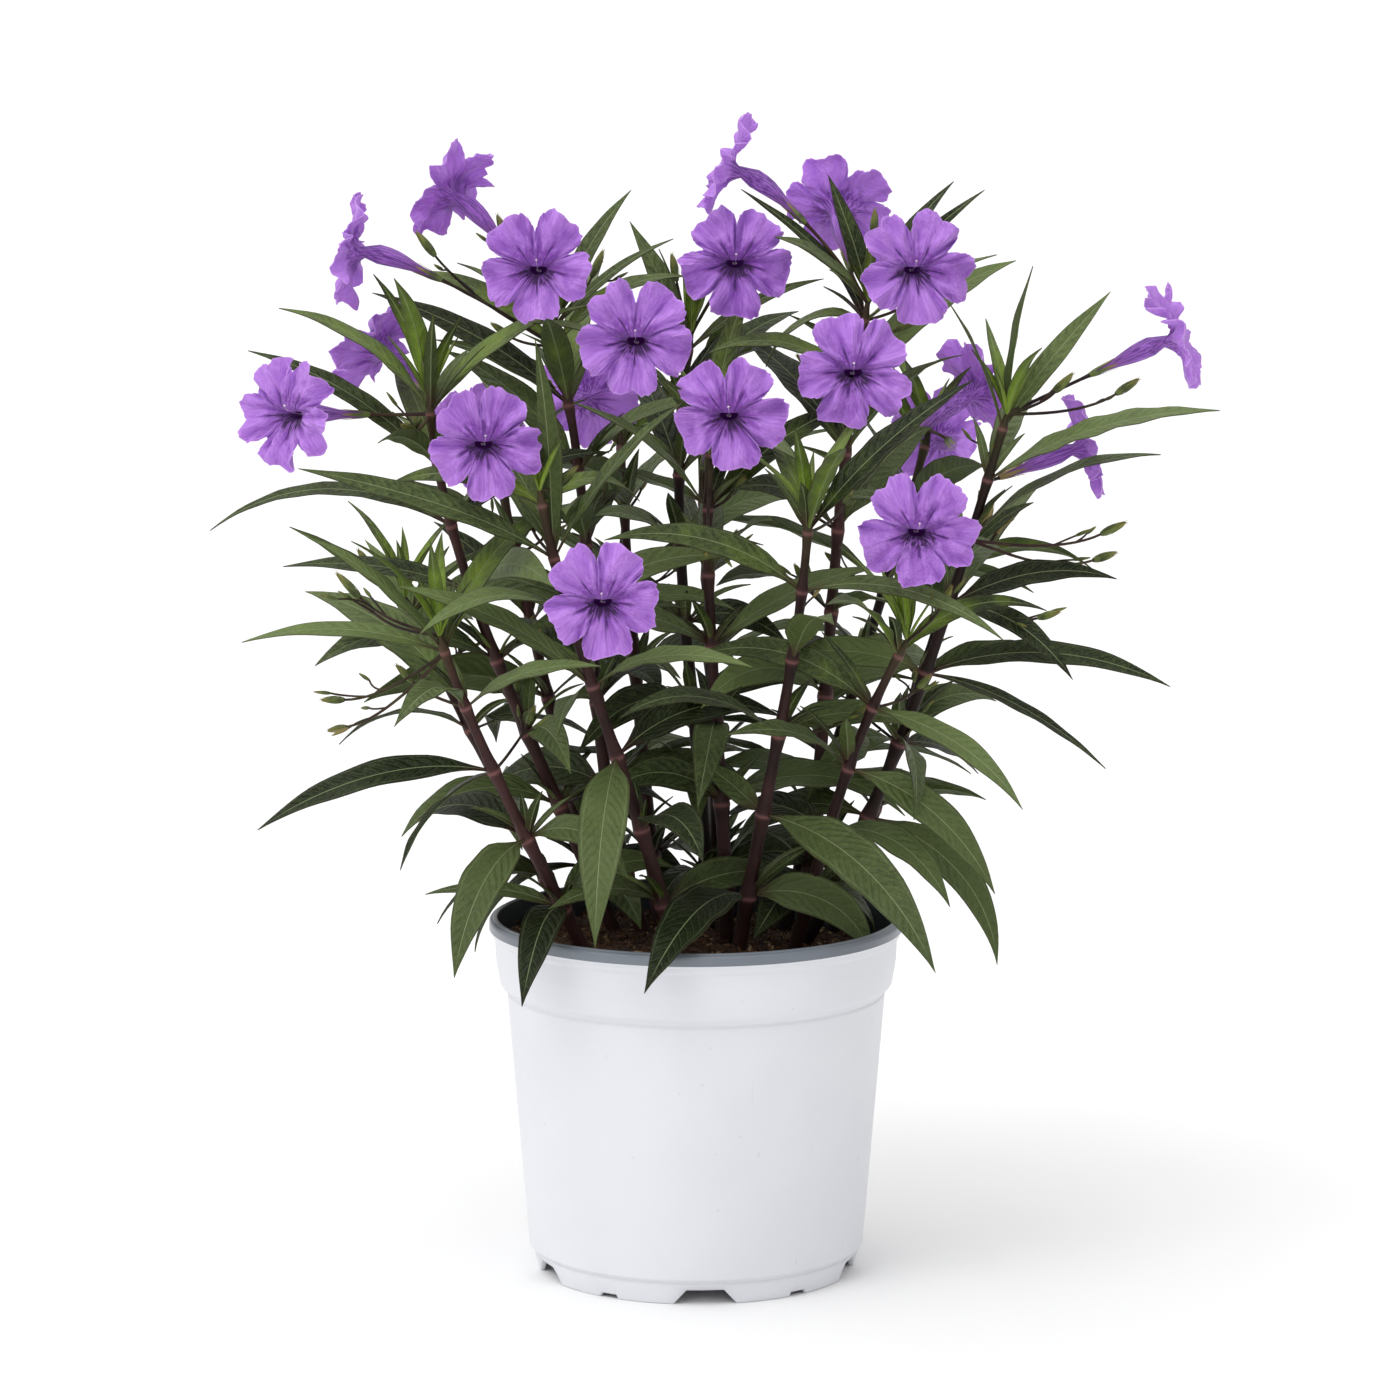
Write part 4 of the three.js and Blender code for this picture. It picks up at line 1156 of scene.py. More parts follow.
LEADING_LEAVES: dict[str, list[tuple[int, Corner, float, float]]] = {
    "A": [
        (4, (-149, -98, 312), 12, 10), (4, (-178, -60, 266), 9, 18), (2, (-172, -70, 193), 13, 24),
        (2, (-120, -4, 165), 11, 20), (1, (-94, -95, 139), 18, 38), (0, (-109, -20, 158), 8, 22),
        (3, (-113, -153, 247), 13, 26),
    ],
    "B": [
        (6, (-179, -5, 376), 9, 12), (7, (-103, -40, 394), 6, 8), (5, (-199, 35, 299), 7, 30),
        (4, (-168, 20, 286), 10, 14),
    ],
    "C": [
        (5, (-154, -75, 336), 12, 12), (2, (-39, -105, 153), 19, 34), (3, (-116, -90, 292), 13, 14),
        (3, (22, -95, 261), 12, 24), (5, (-62, -80, 386), 10, 8), (5, (-5, -78, 362), 11, 12),
    ],
    "D": [(6, (-131, 25, 397), 11, 14), (8, (-26, 15, 439), 9, 8), (8, (-9, 5, 420), 5, 10)],
    "E": [(7, (-27, 40, 425), 11, 8), (7, (-15, 20, 415), 8, 10), (7, (52, 35, 402), 6, 14)],
    "G": [
        (0, (-20, -105, 135), 22, 32), (2, (-29, -98, 242), 12, 26), (1, (93, -100, 142), 20, 26),
        (4, (119, -75, 271), 9, 30), (5, (108, -60, 369), 14, 12),
    ],
    "H": [(3, (126, -104, 207), 11, 16), (2, (118, -62, 166), 15, 26)],
    "I": [
        (6, (202, -80, 359), 14, 14), (7, (165, -10, 400), 10, 8), (8, (132, -40, 412), 14, 8),
        (7, (99, -45, 398), 8, 10), (3, (189, -30, 244), 12, 24), (3, (166, 0, 206), 7, 16),
        (1, (121, -30, 131), 14, 34), (2, (116, 30, 199), 11, 20), (4, (168, -20, 286), 12, 20),
        (4, (149, -45, 249), 10, 30),
    ],
    "J": [
        (8, (53, 15, 445), 10, 8), (8, (18, 0, 440), 7, 10), (8, (31, -10, 422), 10, 14),
        (8, (104, 25, 442), 8, 10), (8, (117, 35, 438), 6, 10),
    ],
    "O": [(6, (139, 50, 309), 11, 10)],
}


@dataclass(frozen=True)
class BloomPlan:
    """Where a bloom opens: its stem, the leaf pair that its stalk leaves, its throat and where it faces."""

    stem: str
    node: int
    throat: Corner
    facing: Corner


BLOOMS = [BloomPlan(*plan) for plan in (
    ("D", 8, (-99, 20, 439), (-0.7, 0.42, 0.56)),
    ("D", 7, (-138, -5, 417), (-0.93, 0.15, 0.2)),
    ("D", 8, (-63, -30, 411), (-0.08, -0.95, 0.15)),
    ("J", 8, (13, 5, 450), (-0.85, 0, 0.5)),
    ("E", 8, (16, -10, 412), (0.05, -0.97, 0.1)),
    ("J", 8, (58, 40, 432), (0, 0.8, 0.5)),
    ("J", 8, (87, -20, 410), (0.12, -0.97, 0.1)),
    ("E", 7, (-24, -40, 384), (-0.05, -0.95, 0.2)),
    ("B", 8, (-130, 20, 376), (-0.7, 0.42, 0.5)),
    ("B", 7, (-162, -35, 354), (-0.6, -0.75, 0.1)),
    ("B", 7, (-82, -65, 345), (0.1, -0.97, 0.1)),
    ("D", 6, (-44, 70, 352), (0.35, 0.85, 0.1)),
    ("F", 7, (13, -62, 356), (0, -0.98, 0.12)),
    ("J", 6, (62, -50, 372), (0.05, -0.97, 0.15)),
    ("I", 8, (192, -10, 383), (0.88, -0.1, 0.42)),
    ("M", 7, (118, 85, 353), (0.7, 0.5, 0.4)),
    ("M", 7, (101, 116, 330), (-0.3, 0.85, 0.1)),
    ("I", 6, (156, -5, 339), (0.85, 0.1, 0.35)),
    ("H", 5, (86, -85, 313), (0.05, -0.97, 0.1)),
    ("C", 4, (-36, -95, 287), (0, -0.97, 0.12)),
    ("N", 6, (-95, 124, 330), (-0.2, 0.93, 0.2)),
    ("L", 4, (13, 143, 336), (0.3, 0.9, 0.25)),
    ("K", 4, (-40, 140, 258), (-0.1, 0.95, 0.15)),
    ("J", 7, (92, 95, 402), (0.3, 0.85, 0.3)),
)]

# Buds and pods: stem, leaf pair, tip and length

BUDS: list[BudPlan] = [
    ("D", 7, (-112, -3, 424), 13), ("D", 8, (-80, 14, 430), 12), ("D", 8, (-37, 22, 415), 13),
    ("E", 8, (-10, 36, 413), 12), ("J", 8, (72, 16, 432), 11), ("J", 7, (90, 2, 388), 13),
    ("I", 5, (173, -10, 308), 12), ("I", 5, (171, 12, 293), 12), ("I", 4, (145, -34, 275), 10),
    ("I", 8, (177, -15, 366), 12), ("I", 8, (150, -22, 369), 11), ("A", 5, (-142, -50, 293), 15),
    ("A", 5, (-136, -42, 284), 13), ("A", 4, (-148, -58, 243), 10), ("A", 4, (-146, -48, 229), 9),
    ("B", 7, (-116, -42, 350), 12), ("F", 6, (4, -62, 300), 10), ("H", 5, (100, -70, 290), 11),
    ("C", 7, (-46, -54, 335), 11), ("L", 7, (-14, 150, 352), 12), ("N", 6, (-104, 100, 330), 11),
    ("K", 7, (-44, 112, 350), 11), ("O", 6, (124, 74, 306), 12), ("P", 5, (-140, 52, 290), 12),
]


# Leaves


@dataclass(frozen=True)
class Leaf:
    """A leaf whose rib arches in an upright plane, with angles in radians."""

    root: Array
    heading: float
    rise: float
    fall: float
    length: float
    width: float
    roll: float
    sweep: float = 0.0
    youth: float = 0.0
    tone: float = 0.5

    TAPER = 1.25
    OUTLINE_SCALE = 4.69

    def rib(self, shares: Array) -> Array:
        """Gives the points of the rib at shares of its length.

        Args:
            shares: from 0 to 1.

        Returns:
            One point for each share.
        """
        shares = np.asarray(shares, float)[:, None]
        curl = self.fall - self.rise
        angle = self.rise + curl * shares
        run = self.length * (np.sin(angle) - math.sin(self.rise)) / curl
        lift = self.length * (math.cos(self.rise) - np.cos(angle)) / curl
        aside = self.sweep * self.length * shares**2
        forward, level = self.plane()
        return self.root + run * forward + aside * level + lift * UP

    def plane(self) -> tuple[Array, Array]:
        """Gives the leaf's level direction away from the stem and the one across it."""
        cosine, sine = math.cos(self.heading), math.sin(self.heading)
        return np.array([cosine, sine, 0.0]), np.array([-sine, cosine, 0.0])

    def axes(self, shares: Array, roll: Array) -> tuple[Array, Array]:
        """Gives the blade's directions at shares of its length.

        Args:
            shares: from 0 to 1.
            roll: how far the blade is turned about its rib at each.

        Returns:
            The direction across the blade and the one that its upper face looks in, at each share.
        """
        step = 0.01
        tangent = unit(self.rib(shares + step) - self.rib(shares - step))
        flat = squared(self.plane()[1], tangent)
        upper = np.cross(tangent, flat)
        cosine, sine = np.cos(roll)[:, None], np.sin(roll)[:, None]
        return flat * cosine + upper * sine, upper * cosine - flat * sine


@dataclass(frozen=True)
class Blade:
    """The fine form of a leaf: a slim stalk, a folded blade with a waved edge and a long fine tip."""

    row_step: float = 3.7
    rows_least: int = 9
    rows_most: int = 23
    columns: tuple[float, ...] = (0.16, 0.46, 0.76, 1.0)
    short: float = 42.0
    short_columns: tuple[float, ...] = (0.2, 0.6, 1.0)
    half_thickness: float = 0.2
    rib_depth: float = 0.5
    rib_width: float = 0.55
    rib_fade: float = 0.6
    fold: float = 0.26
    fold_eases: float = 0.35
    stalk: float = 0.62
    tip: float = 0.05
    stray: float = 0.035
    young_slimmer: float = 0.24
    wave: float = 0.085
    waves: float = 3.4
    twist: float = 9.0

    def add_to(self, draft: Draft, leaf: Leaf, keys: Sequence[int]) -> None:
        """Adds one leaf as a closed shell.

        Args:
            draft: the piece that it joins.
            leaf: its plan.
            keys: what its own draws depend on.
        """
        rows = int(np.clip(leaf.length / self.row_step, self.rows_least, self.rows_most))
        columns = self.short_columns if leaf.length < self.short else self.columns
        shares = np.linspace(0, 1, rows + 1)
        slim = 1 - self.young_slimmer * leaf.youth
        opening = slim * leaf.width / 2 * Leaf.OUTLINE_SCALE * shares * (1 - shares) ** Leaf.TAPER
        half = opening * smooth(0.0, 0.27, shares) + self.stalk * (1 - smooth(0.05, 0.4, shares)) + self.tip
        sides = np.array([-s for s in reversed(columns)] + [0.0] + list(columns))
        across = np.outer(half, sides)
        twist = math.radians(spread(self.twist, *keys, Channel.SPIN)) * smooth(0.2, 1, shares)
        side, face = leaf.axes(shares, leaf.roll + twist)
        height = self.fold * np.abs(across) * (1 - self.fold_eases * np.abs(sides))
        waves = self.waves * leaf.length / 80 * (1 + spread(0.3, *keys, Channel.RUFFLE))
        phase = math.tau * (shares[:, None] * waves + draw(*keys, Channel.RUFFLE, 1))
        lag = np.where(sides < 0, 1.9 * draw(*keys, Channel.RUFFLE, 2), 0.0)
        wave = self.wave * half[:, None] * np.abs(sides) ** 1.6 * np.sin(phase + lag)
        height = height * smooth(0.02, 0.2, shares)[:, None] + wave
        stray = leaf.length * spread(self.stray, *keys, Channel.SWEEP, 1)
        bend = (stray * np.sin(math.pi * shares) * shares)[:, None] * side
        points = (leaf.rib(shares) + bend)[:, None] + across[..., None] * side[:, None]
        points = points + height[..., None] * face[:, None]
        place = stacked(across.shape, (shares * leaf.length)[:, None], across, half[:, None])
        nature = stacked(across.shape, leaf.tone, leaf.youth, shares[:, None])
        rib = self.rib_depth * np.exp(-((across / self.rib_width) ** 2))
        rib = rib * (1 - shares[:, None]) ** self.rib_fade
        front = np.full(across.size, self.half_thickness)
        draft.shell(woven(points, place, nature), front, front + rib.ravel(), (0, 1))


class Canopy:
    """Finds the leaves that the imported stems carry, and adds the small ones between them."""

    LENGTH = (68.0, 88.0)
    WIDTH_SHARE = (0.25, 0.15)
    RISE = (22.0, 58.0)
    CURL = (82.0, 44.0)
    CURL_LEAST = 12.0
    SHORTER_EACH_TRY = 0.025
    TILT = math.radians(44)
    FRONT = np.array([0.0, -1.0, 0.0])
    LIGHT_PARTING = 40.0
    TRIES = 14
    FOUND_WITHIN = 0.05
    YOUNG_LEAVES = 3
    TUFT_LEAVES = 4
    AXIL_SHARE = 0.6

    def __init__(self, name: str) -> None:
        """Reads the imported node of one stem.

        Args:
            name: the stem's letter.
        """
        self.name = name
        self.stem = STEMS[name]
        self.index = list(STEMS).index(name)
        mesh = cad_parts[f"stem_{name.lower()}"].data
        corners = np.zeros(len(mesh.vertices) * 3, np.float32)
        mesh.vertices.foreach_get("co", corners)
        self.corners = corners.reshape(-1, 3) / MM

    def grown(self, make: Callable[[int], Leaf]) -> Leaf | None:
        """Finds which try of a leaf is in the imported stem.

        Args:
            make: gives the leaf for the number of a try.

        Returns:
            The leaf, or None where no try grew.
        """
        for attempt in range(self.TRIES):
            leaf = make(attempt)
            tip = leaf.rib(np.array([1.0]))[0]
            if np.min(np.linalg.norm(self.corners - tip, axis=1)) < self.FOUND_WITHIN:
                return leaf
        return None

    def outward_roll(self, heading: float, light: Array) -> float:
        """Gives the roll that leans a leaf's upper face towards the light."""
        return -self.TILT * (light[1] * math.cos(heading) - light[0] * math.sin(heading))

    def leading(self, entry: tuple[int, Corner, float, float], attempt: int) -> Leaf:
        """Plans one of the leaves that show most.

        Args:
            entry: its leaf pair, tip, width and arch.
            attempt: the number of the try.

        Returns:
            The leaf.
        """
        node, tip_corner, width, arch = entry
        keys = (Family.LEADING, node, attempt)
        root = self.stem.node_point(node)
        tip = np.array(tip_corner, float)
        tip[1] += spread(6 * attempt, *keys, Channel.TURN)
        chord = tip - root
        reach = float(np.linalg.norm(chord))
        level = math.asin(chord[2] / reach)
        half = math.radians(arch + spread(3 * attempt, *keys, Channel.CURL)) + 0.02
        heading = math.atan2(chord[1], chord[0])
        roll = self.outward_roll(heading, self.FRONT) + spread(math.radians(10), *keys, Channel.ROLL)
        length = reach * half / math.sin(half)
        youth = 0.3 if node >= self.stem.pairs - 1 else 0.0
        tone = draw(self.index, *keys, Channel.TONE)
        return Leaf(root, heading, level + half, level - half, length, width, roll, 0.0, youth, tone)

    def paired(self, node: int, side: int, attempt: int) -> Leaf:
        """Plans a leaf of a pair.

        Args:
            node: the pair, counted from the lowest.
            side: 0 or 1, for either leaf of the pair.
            attempt: the number of the try.

        Returns:
            The leaf.
        """
        keys = (self.index, 2 * node + side, attempt)
        height = node / (self.stem.pairs - 1)
        loose = 1 + attempt / 4
        turn = self.stem.turn + 90 * node + 180 * side + spread(14 * loose, *keys, Channel.TURN)
        rise = mix(self.RISE, height) + spread(9 * loose, *keys, Channel.RISE)
        curl = mix(self.CURL, height) + spread(16 * loose, *keys, Channel.CURL)
        length = mix(self.LENGTH, height) * (1 + spread(0.16, *keys, Channel.LENGTH))
        length *= 1 - self.SHORTER_EACH_TRY * attempt
        width = length * mix(self.WIDTH_SHARE, height) * (1 + spread(0.12, *keys, Channel.WIDTH))
        root = self.stem.node_point(node)
        light = unit(np.array([0.5 * root[0], root[1] - self.LIGHT_PARTING, 0.0]))
        heading = math.radians(turn)
        roll = self.outward_roll(heading, light) + spread(math.radians(20), *keys, Channel.ROLL)
        fall = math.radians(rise - max(curl, self.CURL_LEAST))
        sweep, youth = spread(0.09, *keys, Channel.SWEEP), 0.6 * max(0.0, height - 0.5) / 0.5
        tone = draw(*keys, Channel.TONE)
        return Leaf(root, heading, math.radians(rise), fall, length, width, roll, sweep, youth, tone)

    @staticmethod
    def _leaf(
        keys: Sequence[int], root: Array, angles: Corner, size: tuple[float, float], roll: float, youth: float
    ) -> Leaf:
        """Makes a leaf from its turn, rise and fall in degrees and its length and width."""
        heading, rise, fall = (math.radians(angle) for angle in angles)
        return Leaf(root, heading, rise, fall, *size, roll, 0.0, youth, draw(*keys, Channel.TONE))

    def young(self, number: int, attempt: int) -> Leaf:
        """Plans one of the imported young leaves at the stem's end.

        Args:
            number: which of them it is.
            attempt: the number of the try.

        Returns:
            The leaf.
        """
        keys = (self.index, Family.YOUNG + number, attempt)
        lean = 74 - 9 * (number % 2) + spread(8 + 3 * attempt, *keys, Channel.RISE)
        length = (52 if number < 2 else 36) * (1 + spread(0.2, *keys, Channel.LENGTH))
        turn = self.stem.turn + 45 + 90 * number + spread(20 + 6 * attempt, *keys, Channel.TURN)
        fall = lean - mix((24, 44), draw(*keys, Channel.CURL))
        roll = spread(math.radians(15), *keys, Channel.ROLL)
        return self._leaf(keys, self.stem.point(1.0), (turn, lean, fall), (length, 0.17 * length), roll, 0.85)

    def tuft(self, number: int) -> Leaf:
        """Plans a small upright leaf in the tuft at the stem's end.

        Args:
            number: which of them it is.

        Returns:
            The leaf.
        """
        keys = (self.index, Family.TUFT, number)
        lean = 80 - 5 * number + spread(5, *keys, Channel.RISE)
        length = 15 + 5.5 * number + spread(3, *keys, Channel.LENGTH)
        turn = self.stem.turn + 20 + 137 * number
        angles, size = (turn, lean, lean - 16), (length, 0.15 * length)
        return self._leaf(keys, self.stem.point(1.0), angles, size, spread(0.3, *keys, Channel.ROLL), 1.0)

    def axil(self, leaf: Leaf, number: int, which: int) -> Leaf:
        """Plans a small leaf of the shoot between a leaf and its stem.

        Args:
            leaf: the leaf below the shoot.
            number: which of the paired leaves that is.
            which: 0 or 1, for either leaf of the shoot.

        Returns:
            The small leaf.
        """
        keys = (self.index, Family.AXIL, number, which)
        lean = math.degrees(leaf.rise) * 0.35 + 46 + spread(9, *keys, Channel.RISE)
        length = mix((20, 38), draw(*keys, Channel.LENGTH))
        turn = math.degrees(leaf.heading) + (32 if which else -28) + spread(16, *keys, Channel.TURN)
        width = length * mix((0.13, 0.19), draw(*keys, Channel.WIDTH))
        fall = lean - mix((18, 52), draw(*keys, Channel.CURL))
        roll = 0.6 * self.outward_roll(math.radians(turn), self.FRONT)
        youth = 0.45 * draw(*keys, Channel.BUMP) + 0.1
        return self._leaf(keys, leaf.root, (turn, lean, fall), (length, width), roll, youth)

    def leaves(self) -> list[Leaf]:
        """Gives every leaf of the stem.

        Returns:
            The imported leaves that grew, the tuft at the end, and a shoot in some of the axils.
        """
        found = [self.grown(partial(self.leading, entry)) for entry in LEADING_LEAVES.get(self.name, [])]
        found += [self.grown(partial(self.young, number)) for number in range(self.YOUNG_LEAVES)]
        sides = [(node, side) for node in range(self.stem.pairs) for side in (0, 1)]
        pairs = [self.grown(partial(self.paired, *pair)) for pair in sides]
        packed = [leaf for leaf in found + pairs if leaf]
        small = [self.tuft(number) for number in range(self.TUFT_LEAVES)]
        for number, leaf in enumerate(leaf for leaf in pairs if leaf):
            if draw(self.index, Family.AXIL, number, Channel.CHANCE) < self.AXIL_SHARE:
                small += [self.axil(leaf, number, which) for which in (0, 1)]
        return packed + small


# Stalks


class StalkKind(IntEnum):
    """What a stalk is, as its finish reads it."""

    STEM = 0
    FLOWER_STALK = 1
    BUD = 2


class StalkLines:
    """Lines with a radius at each point, from which the stalks of one piece grow."""

    def __init__(self) -> None:
        """Starts with no line."""
        self.points: list[Array] = []
        self.edges: list[Array] = []
        self.values: dict[str, list[Array]] = {"radius_m": [], "place": [], "nature": []}
        self.count = 0

    def add(
        self, points: Array, radius: Array, kind: StalkKind, tone: float,
        youth: Array | float = 0.0, ring: Array | float = 0.0,
    ) -> None:
        """Adds one line.

        Args:
            points: its points.
            radius: the stalk's radius at each.
            kind: what kind of stalk it is.
            tone: from 0, dark, to 1, light.
            youth: from 0, woody, to 1, green.
            ring: how much of a pale joint shows at each point.
        """
        count = len(points)
        steps = np.linalg.norm(np.diff(points, axis=0), axis=1)
        along = np.concatenate([[0.0], np.cumsum(steps)])
        columns = np.broadcast_arrays(along, ring, radius, tone, youth, float(kind))
        self.points.append(points)
        self.edges.append(self.count + np.stack([np.arange(count - 1), np.arange(1, count)], axis=1))
        self.values["radius_m"].append(columns[2] * MM)
        self.values["place"].append(np.stack(columns[:3], axis=1))
        self.values["nature"].append(np.stack(columns[3:], axis=1))
        self.count += count

    def grow(self, name: str, grower: Grower, finish: Material, sides: int) -> Piece:
        """Grows the stalks.

        Args:
            name: the piece's name.
            grower: the tree for stalks.
            finish: the material.
            sides: how many sides a stalk has.

        Returns:
            The finished piece.
        """
        values = {key: np.concatenate(parts) for key, parts in self.values.items()}
        mesh = traced(name, np.concatenate(self.points), np.concatenate(self.edges).tolist(), **values)
        return grower.grow(name, placed(f"{name}_lines", mesh), {"Finish": finish, "Sides": sides})


class FlowerStalk:
    """The stalk, calyx and trumpet line of one bloom."""

    TUBE_LENGTH = 30.0
    CALYX_LENGTH = 9.0
    TOWARDS_FACING = 0.65
    BEND = 0.4

    def __init__(self, plan: BloomPlan) -> None:
        """Works out the bloom's own directions from its plan.

        Args:
            plan: the bloom's plan.
        """
        self.start = STEMS[plan.stem].node_point(plan.node)
        self.throat = np.array(plan.throat, float)
        self.facing = unit(np.array(plan.facing, float))
        self.upward = squared(UP, self.facing)
        self.sideways = np.cross(self.upward, self.facing)
        outward = unit(self.throat - self.start)
        leaving = unit(outward + (self.facing - outward) * self.TOWARDS_FACING)
        self.calyx_mouth = self.throat - self.TUBE_LENGTH * leaving
        self.end = self.calyx_mouth - self.CALYX_LENGTH * outward
        self.calyx_direction = unit(self.calyx_mouth - self.end)

    def place(self, spots: Array) -> Array:
        """Turns distances sideways, upward and forward from the throat into points of the plant."""
        axes = (self.sideways, self.upward, self.facing)
        return self.throat + sum(spots[..., i, None] * axis for i, axis in enumerate(axes))

    def line(self, count: int) -> Array:
        """Gives points along the stalk, from the stem to the calyx.

        Args:
            count: how many points the curve has.

        Returns:
            The points, the last one inside the calyx.
        """
        reach = float(np.linalg.norm(self.end - self.start))
        bend = self.end - self.BEND * reach * self.calyx_direction
        line = bezier((self.start, bend, self.end), np.linspace(0, 1, count))
        return np.concatenate([line, [self.end + 2.0 * self.calyx_direction]])


@dataclass
class Whorls:
    """Rings of five sepals, placed at calyxes and buds by a tree."""

    spots: list[tuple[Array, Array, Corner]] = field(default_factory=list)

    SEPALS = 5
    HALF_SPREAD = 35.0
    TIP_SPREAD = 2.0
    HALF_THICKNESS = 0.018
    FOLD = 0.01

    def add(self, point: Array, aim: Array, length: float, girth: float) -> None:
        """Adds a whorl at a point, along an aim, with its length and girth."""
        self.spots.append((point, aim, (girth, girth, length)))

    def ring(self, name: str, radii: Sequence[float], finish: Material) -> Piece:
        """Makes the whorl that is copied, 1 metre long and round.

        Args:
            name: its name.
            radii: how far the sepals stand from the axis, from base to tip.
            finish: the material.

        Returns:
            An object of five sepals.
        """
        draft = Draft()
        shares = np.linspace(0, 1, 7)
        sides = np.array([-1.0, 0.0, 1.0])
        radius = np.interp(shares, np.linspace(0, 1, len(radii)), radii)
        half_turn = math.radians(self.HALF_SPREAD) * (1 - shares) ** 0.75 + math.radians(self.TIP_SPREAD)
        for turn in full_turn(self.SEPALS):
            angle = turn + half_turn[:, None] * sides
            place = stacked(angle.shape, shares[:, None], sides, 0.0)
            stand = radius[:, None] + self.FOLD * np.abs(sides)
            sheet = woven(around(stand, angle, shares[:, None]), place, place)
            sheet.faces = sheet.faces[:, ::-1]
            depth = np.full(angle.size, self.HALF_THICKNESS)
            draft.shell(sheet, depth, depth, (0, 0))
        draft.points = [points / MM for points in draft.points]
        return draft.make(name, [finish])

    def grow(
        self, name: str, grower: Grower, finish: Material, radii: Sequence[float]
    ) -> Piece:
        """Grows the whorls.

        Args:
            name: the piece's name.
            grower: the tree for whorls.
            finish: the material.
            radii: how far the sepals stand from the axis, from base to tip.

        Returns:
            The finished piece.
        """
        ring = self.ring(f"{name}_ring", radii, finish)
        points, aims, sizes = (np.array(parts) for parts in zip(*self.spots))
        source = placed(f"{name}_spots", traced(name, points, aim=aims, size=sizes * MM))
        piece = grower.grow(name, source, {"Finish": finish, "Whorl": ring})
        bpy.data.objects.remove(ring)
        return piece


@dataclass
class LeafyStem:
    """One stem with its leaves, flower stalks, sepals and buds."""

    name: str
    blade: Blade = field(default_factory=Blade)
    step: float = 4.0
    around_joint: tuple[float, ...] = (-9, -6, -4, -2.4, -1.2, -0.5, 0, 0.5, 1.2, 2.4, 4, 6, 9)
    girth: float = 0.92
    end_taper: float = 0.35
    swell: float = 0.3
    swell_reach: float = 5.0
    ring_swell: float = 0.07
    ring_reach: float = 0.8
    stalk_radius: float = 0.68
    stalk_wobble: float = 0.012
    bud_radius: float = 1.6
    bud_bluntness: float = 0.75
    small_bud: float = 7.0
    spare_share: float = 0.24
    spare_reach: tuple[float, float] = (20.0, 44.0)
    spare_rise: tuple[float, float] = (0.3, 1.3)
    spare_length: tuple[float, float] = (6.0, 11.0)
    fork_missing: float = 0.3
    fork_reach: tuple[float, float] = (8.0, 17.0)
    fork_turn: tuple[float, float] = (0.45, 0.95)
    fork_girth: float = 0.62
    bud_lift: float = 0.35
    calyx_radii: tuple[float, ...] = (0.55, 0.9, 1.0, 1.1, 1.35)
    pod_radii: tuple[float, ...] = (0.5, 0.92, 1.0, 0.84, 0.56, 0.3)

    def leaves(self, finishes: Sequence[Material]) -> Piece:
        """Builds the leaves of the stem as one piece.

        Args:
            finishes: the materials of the upper face and of the underside.

        Returns:
            The finished piece.
        """
        canopy = Canopy(self.name)
        draft = Draft()
        for number, leaf in enumerate(canopy.leaves()):
            self.blade.add_to(draft, leaf, (canopy.index, number))
        return draft.make(f"stem_{self.name.lower()}_leaves", finishes)

    def _stem_line(self, lines: StalkLines) -> None:
        """Adds the main stem, thicker at its joints.

        Args:
            lines: where it goes.
        """
        stem = STEMS[self.name]
        corners = np.array(stem.path, float)
        length = float(np.sum(np.linalg.norm(np.diff(corners, axis=0), axis=1)))
        nodes = [stem.node_share(node) for node in range(stem.pairs)]
        shares = list(np.arange(0, length, self.step) / length)
        shares += [node + offset / length for node in nodes for offset in self.around_joint]
        shares = np.unique(np.clip(shares, 0, 1).round(5))
        shares = shares[np.concatenate([[True], np.diff(shares) > 0.3 / length])]
        away = np.abs(shares[:, None] - np.array(nodes)) * length
        swelling = 1 + self.swell * np.exp(-((away / self.swell_reach) ** 2)).sum(axis=1)
        ring = np.exp(-((away / self.ring_reach) ** 2)).sum(axis=1)
        radius = self.girth * mix(Stem.RADIUS, shares) * (swelling + self.ring_swell * ring)
        radius *= 1 - self.end_taper * smooth(0.97, 1.0, shares)
        tone = draw(list(STEMS).index(self.name), Channel.TONE)
        lines.add(stem.points(shares), radius, StalkKind.STEM, tone, shares, np.clip(ring, 0, 1))

    def _forks(self, lines: StalkLines, pods: Whorls, stalk: Array, direction: Array, number: int) -> None:
        """Adds side stalks with small closed buds to the stalk of a bud.

        Args:
            lines: where the stalks go.
            pods: where the sepals of the small buds go.
            stalk: the points of the bud's own stalk.
            direction: where the bud points.
            number: the bud.
        """
        for side in (0, 1):
            keys = (Family.FORK, number, side)
            if draw(*keys, Channel.CHANCE) < self.fork_missing:
                continue
            start = stalk[8 - 2 * side]
            aside = unit(np.cross(direction, UP)) * (1 if side else -1)
            turn = mix(self.fork_turn, draw(*keys, Channel.TURN))
            aim = unit(direction + aside * turn + UP * spread(0.4, *keys))
            reach = mix(self.fork_reach, draw(*keys, Channel.LENGTH))
            bend = start + 0.5 * reach * unit(direction + 0.2 * aside)
            line = bezier((start, bend, start + reach * aim), np.linspace(0, 1, 7))
            radius = np.full(len(line), self.fork_girth * self.stalk_radius)
            lines.add(line, radius, StalkKind.FLOWER_STALK, draw(*keys), 0.4)
            shares = np.linspace(0, 1, 6)
            body = line[-1] + shares[:, None] * self.small_bud * aim
            shape = np.sin(math.pi * np.clip(shares, 0.08, 0.96)) ** self.bud_bluntness
            shape = 0.42 * self.bud_radius * shape
            lines.add(body, shape, StalkKind.BUD, draw(*keys, Channel.TONE), 1.0)
            pods.add(line[-1], aim, self.small_bud * 1.05, self.bud_radius * 0.48)

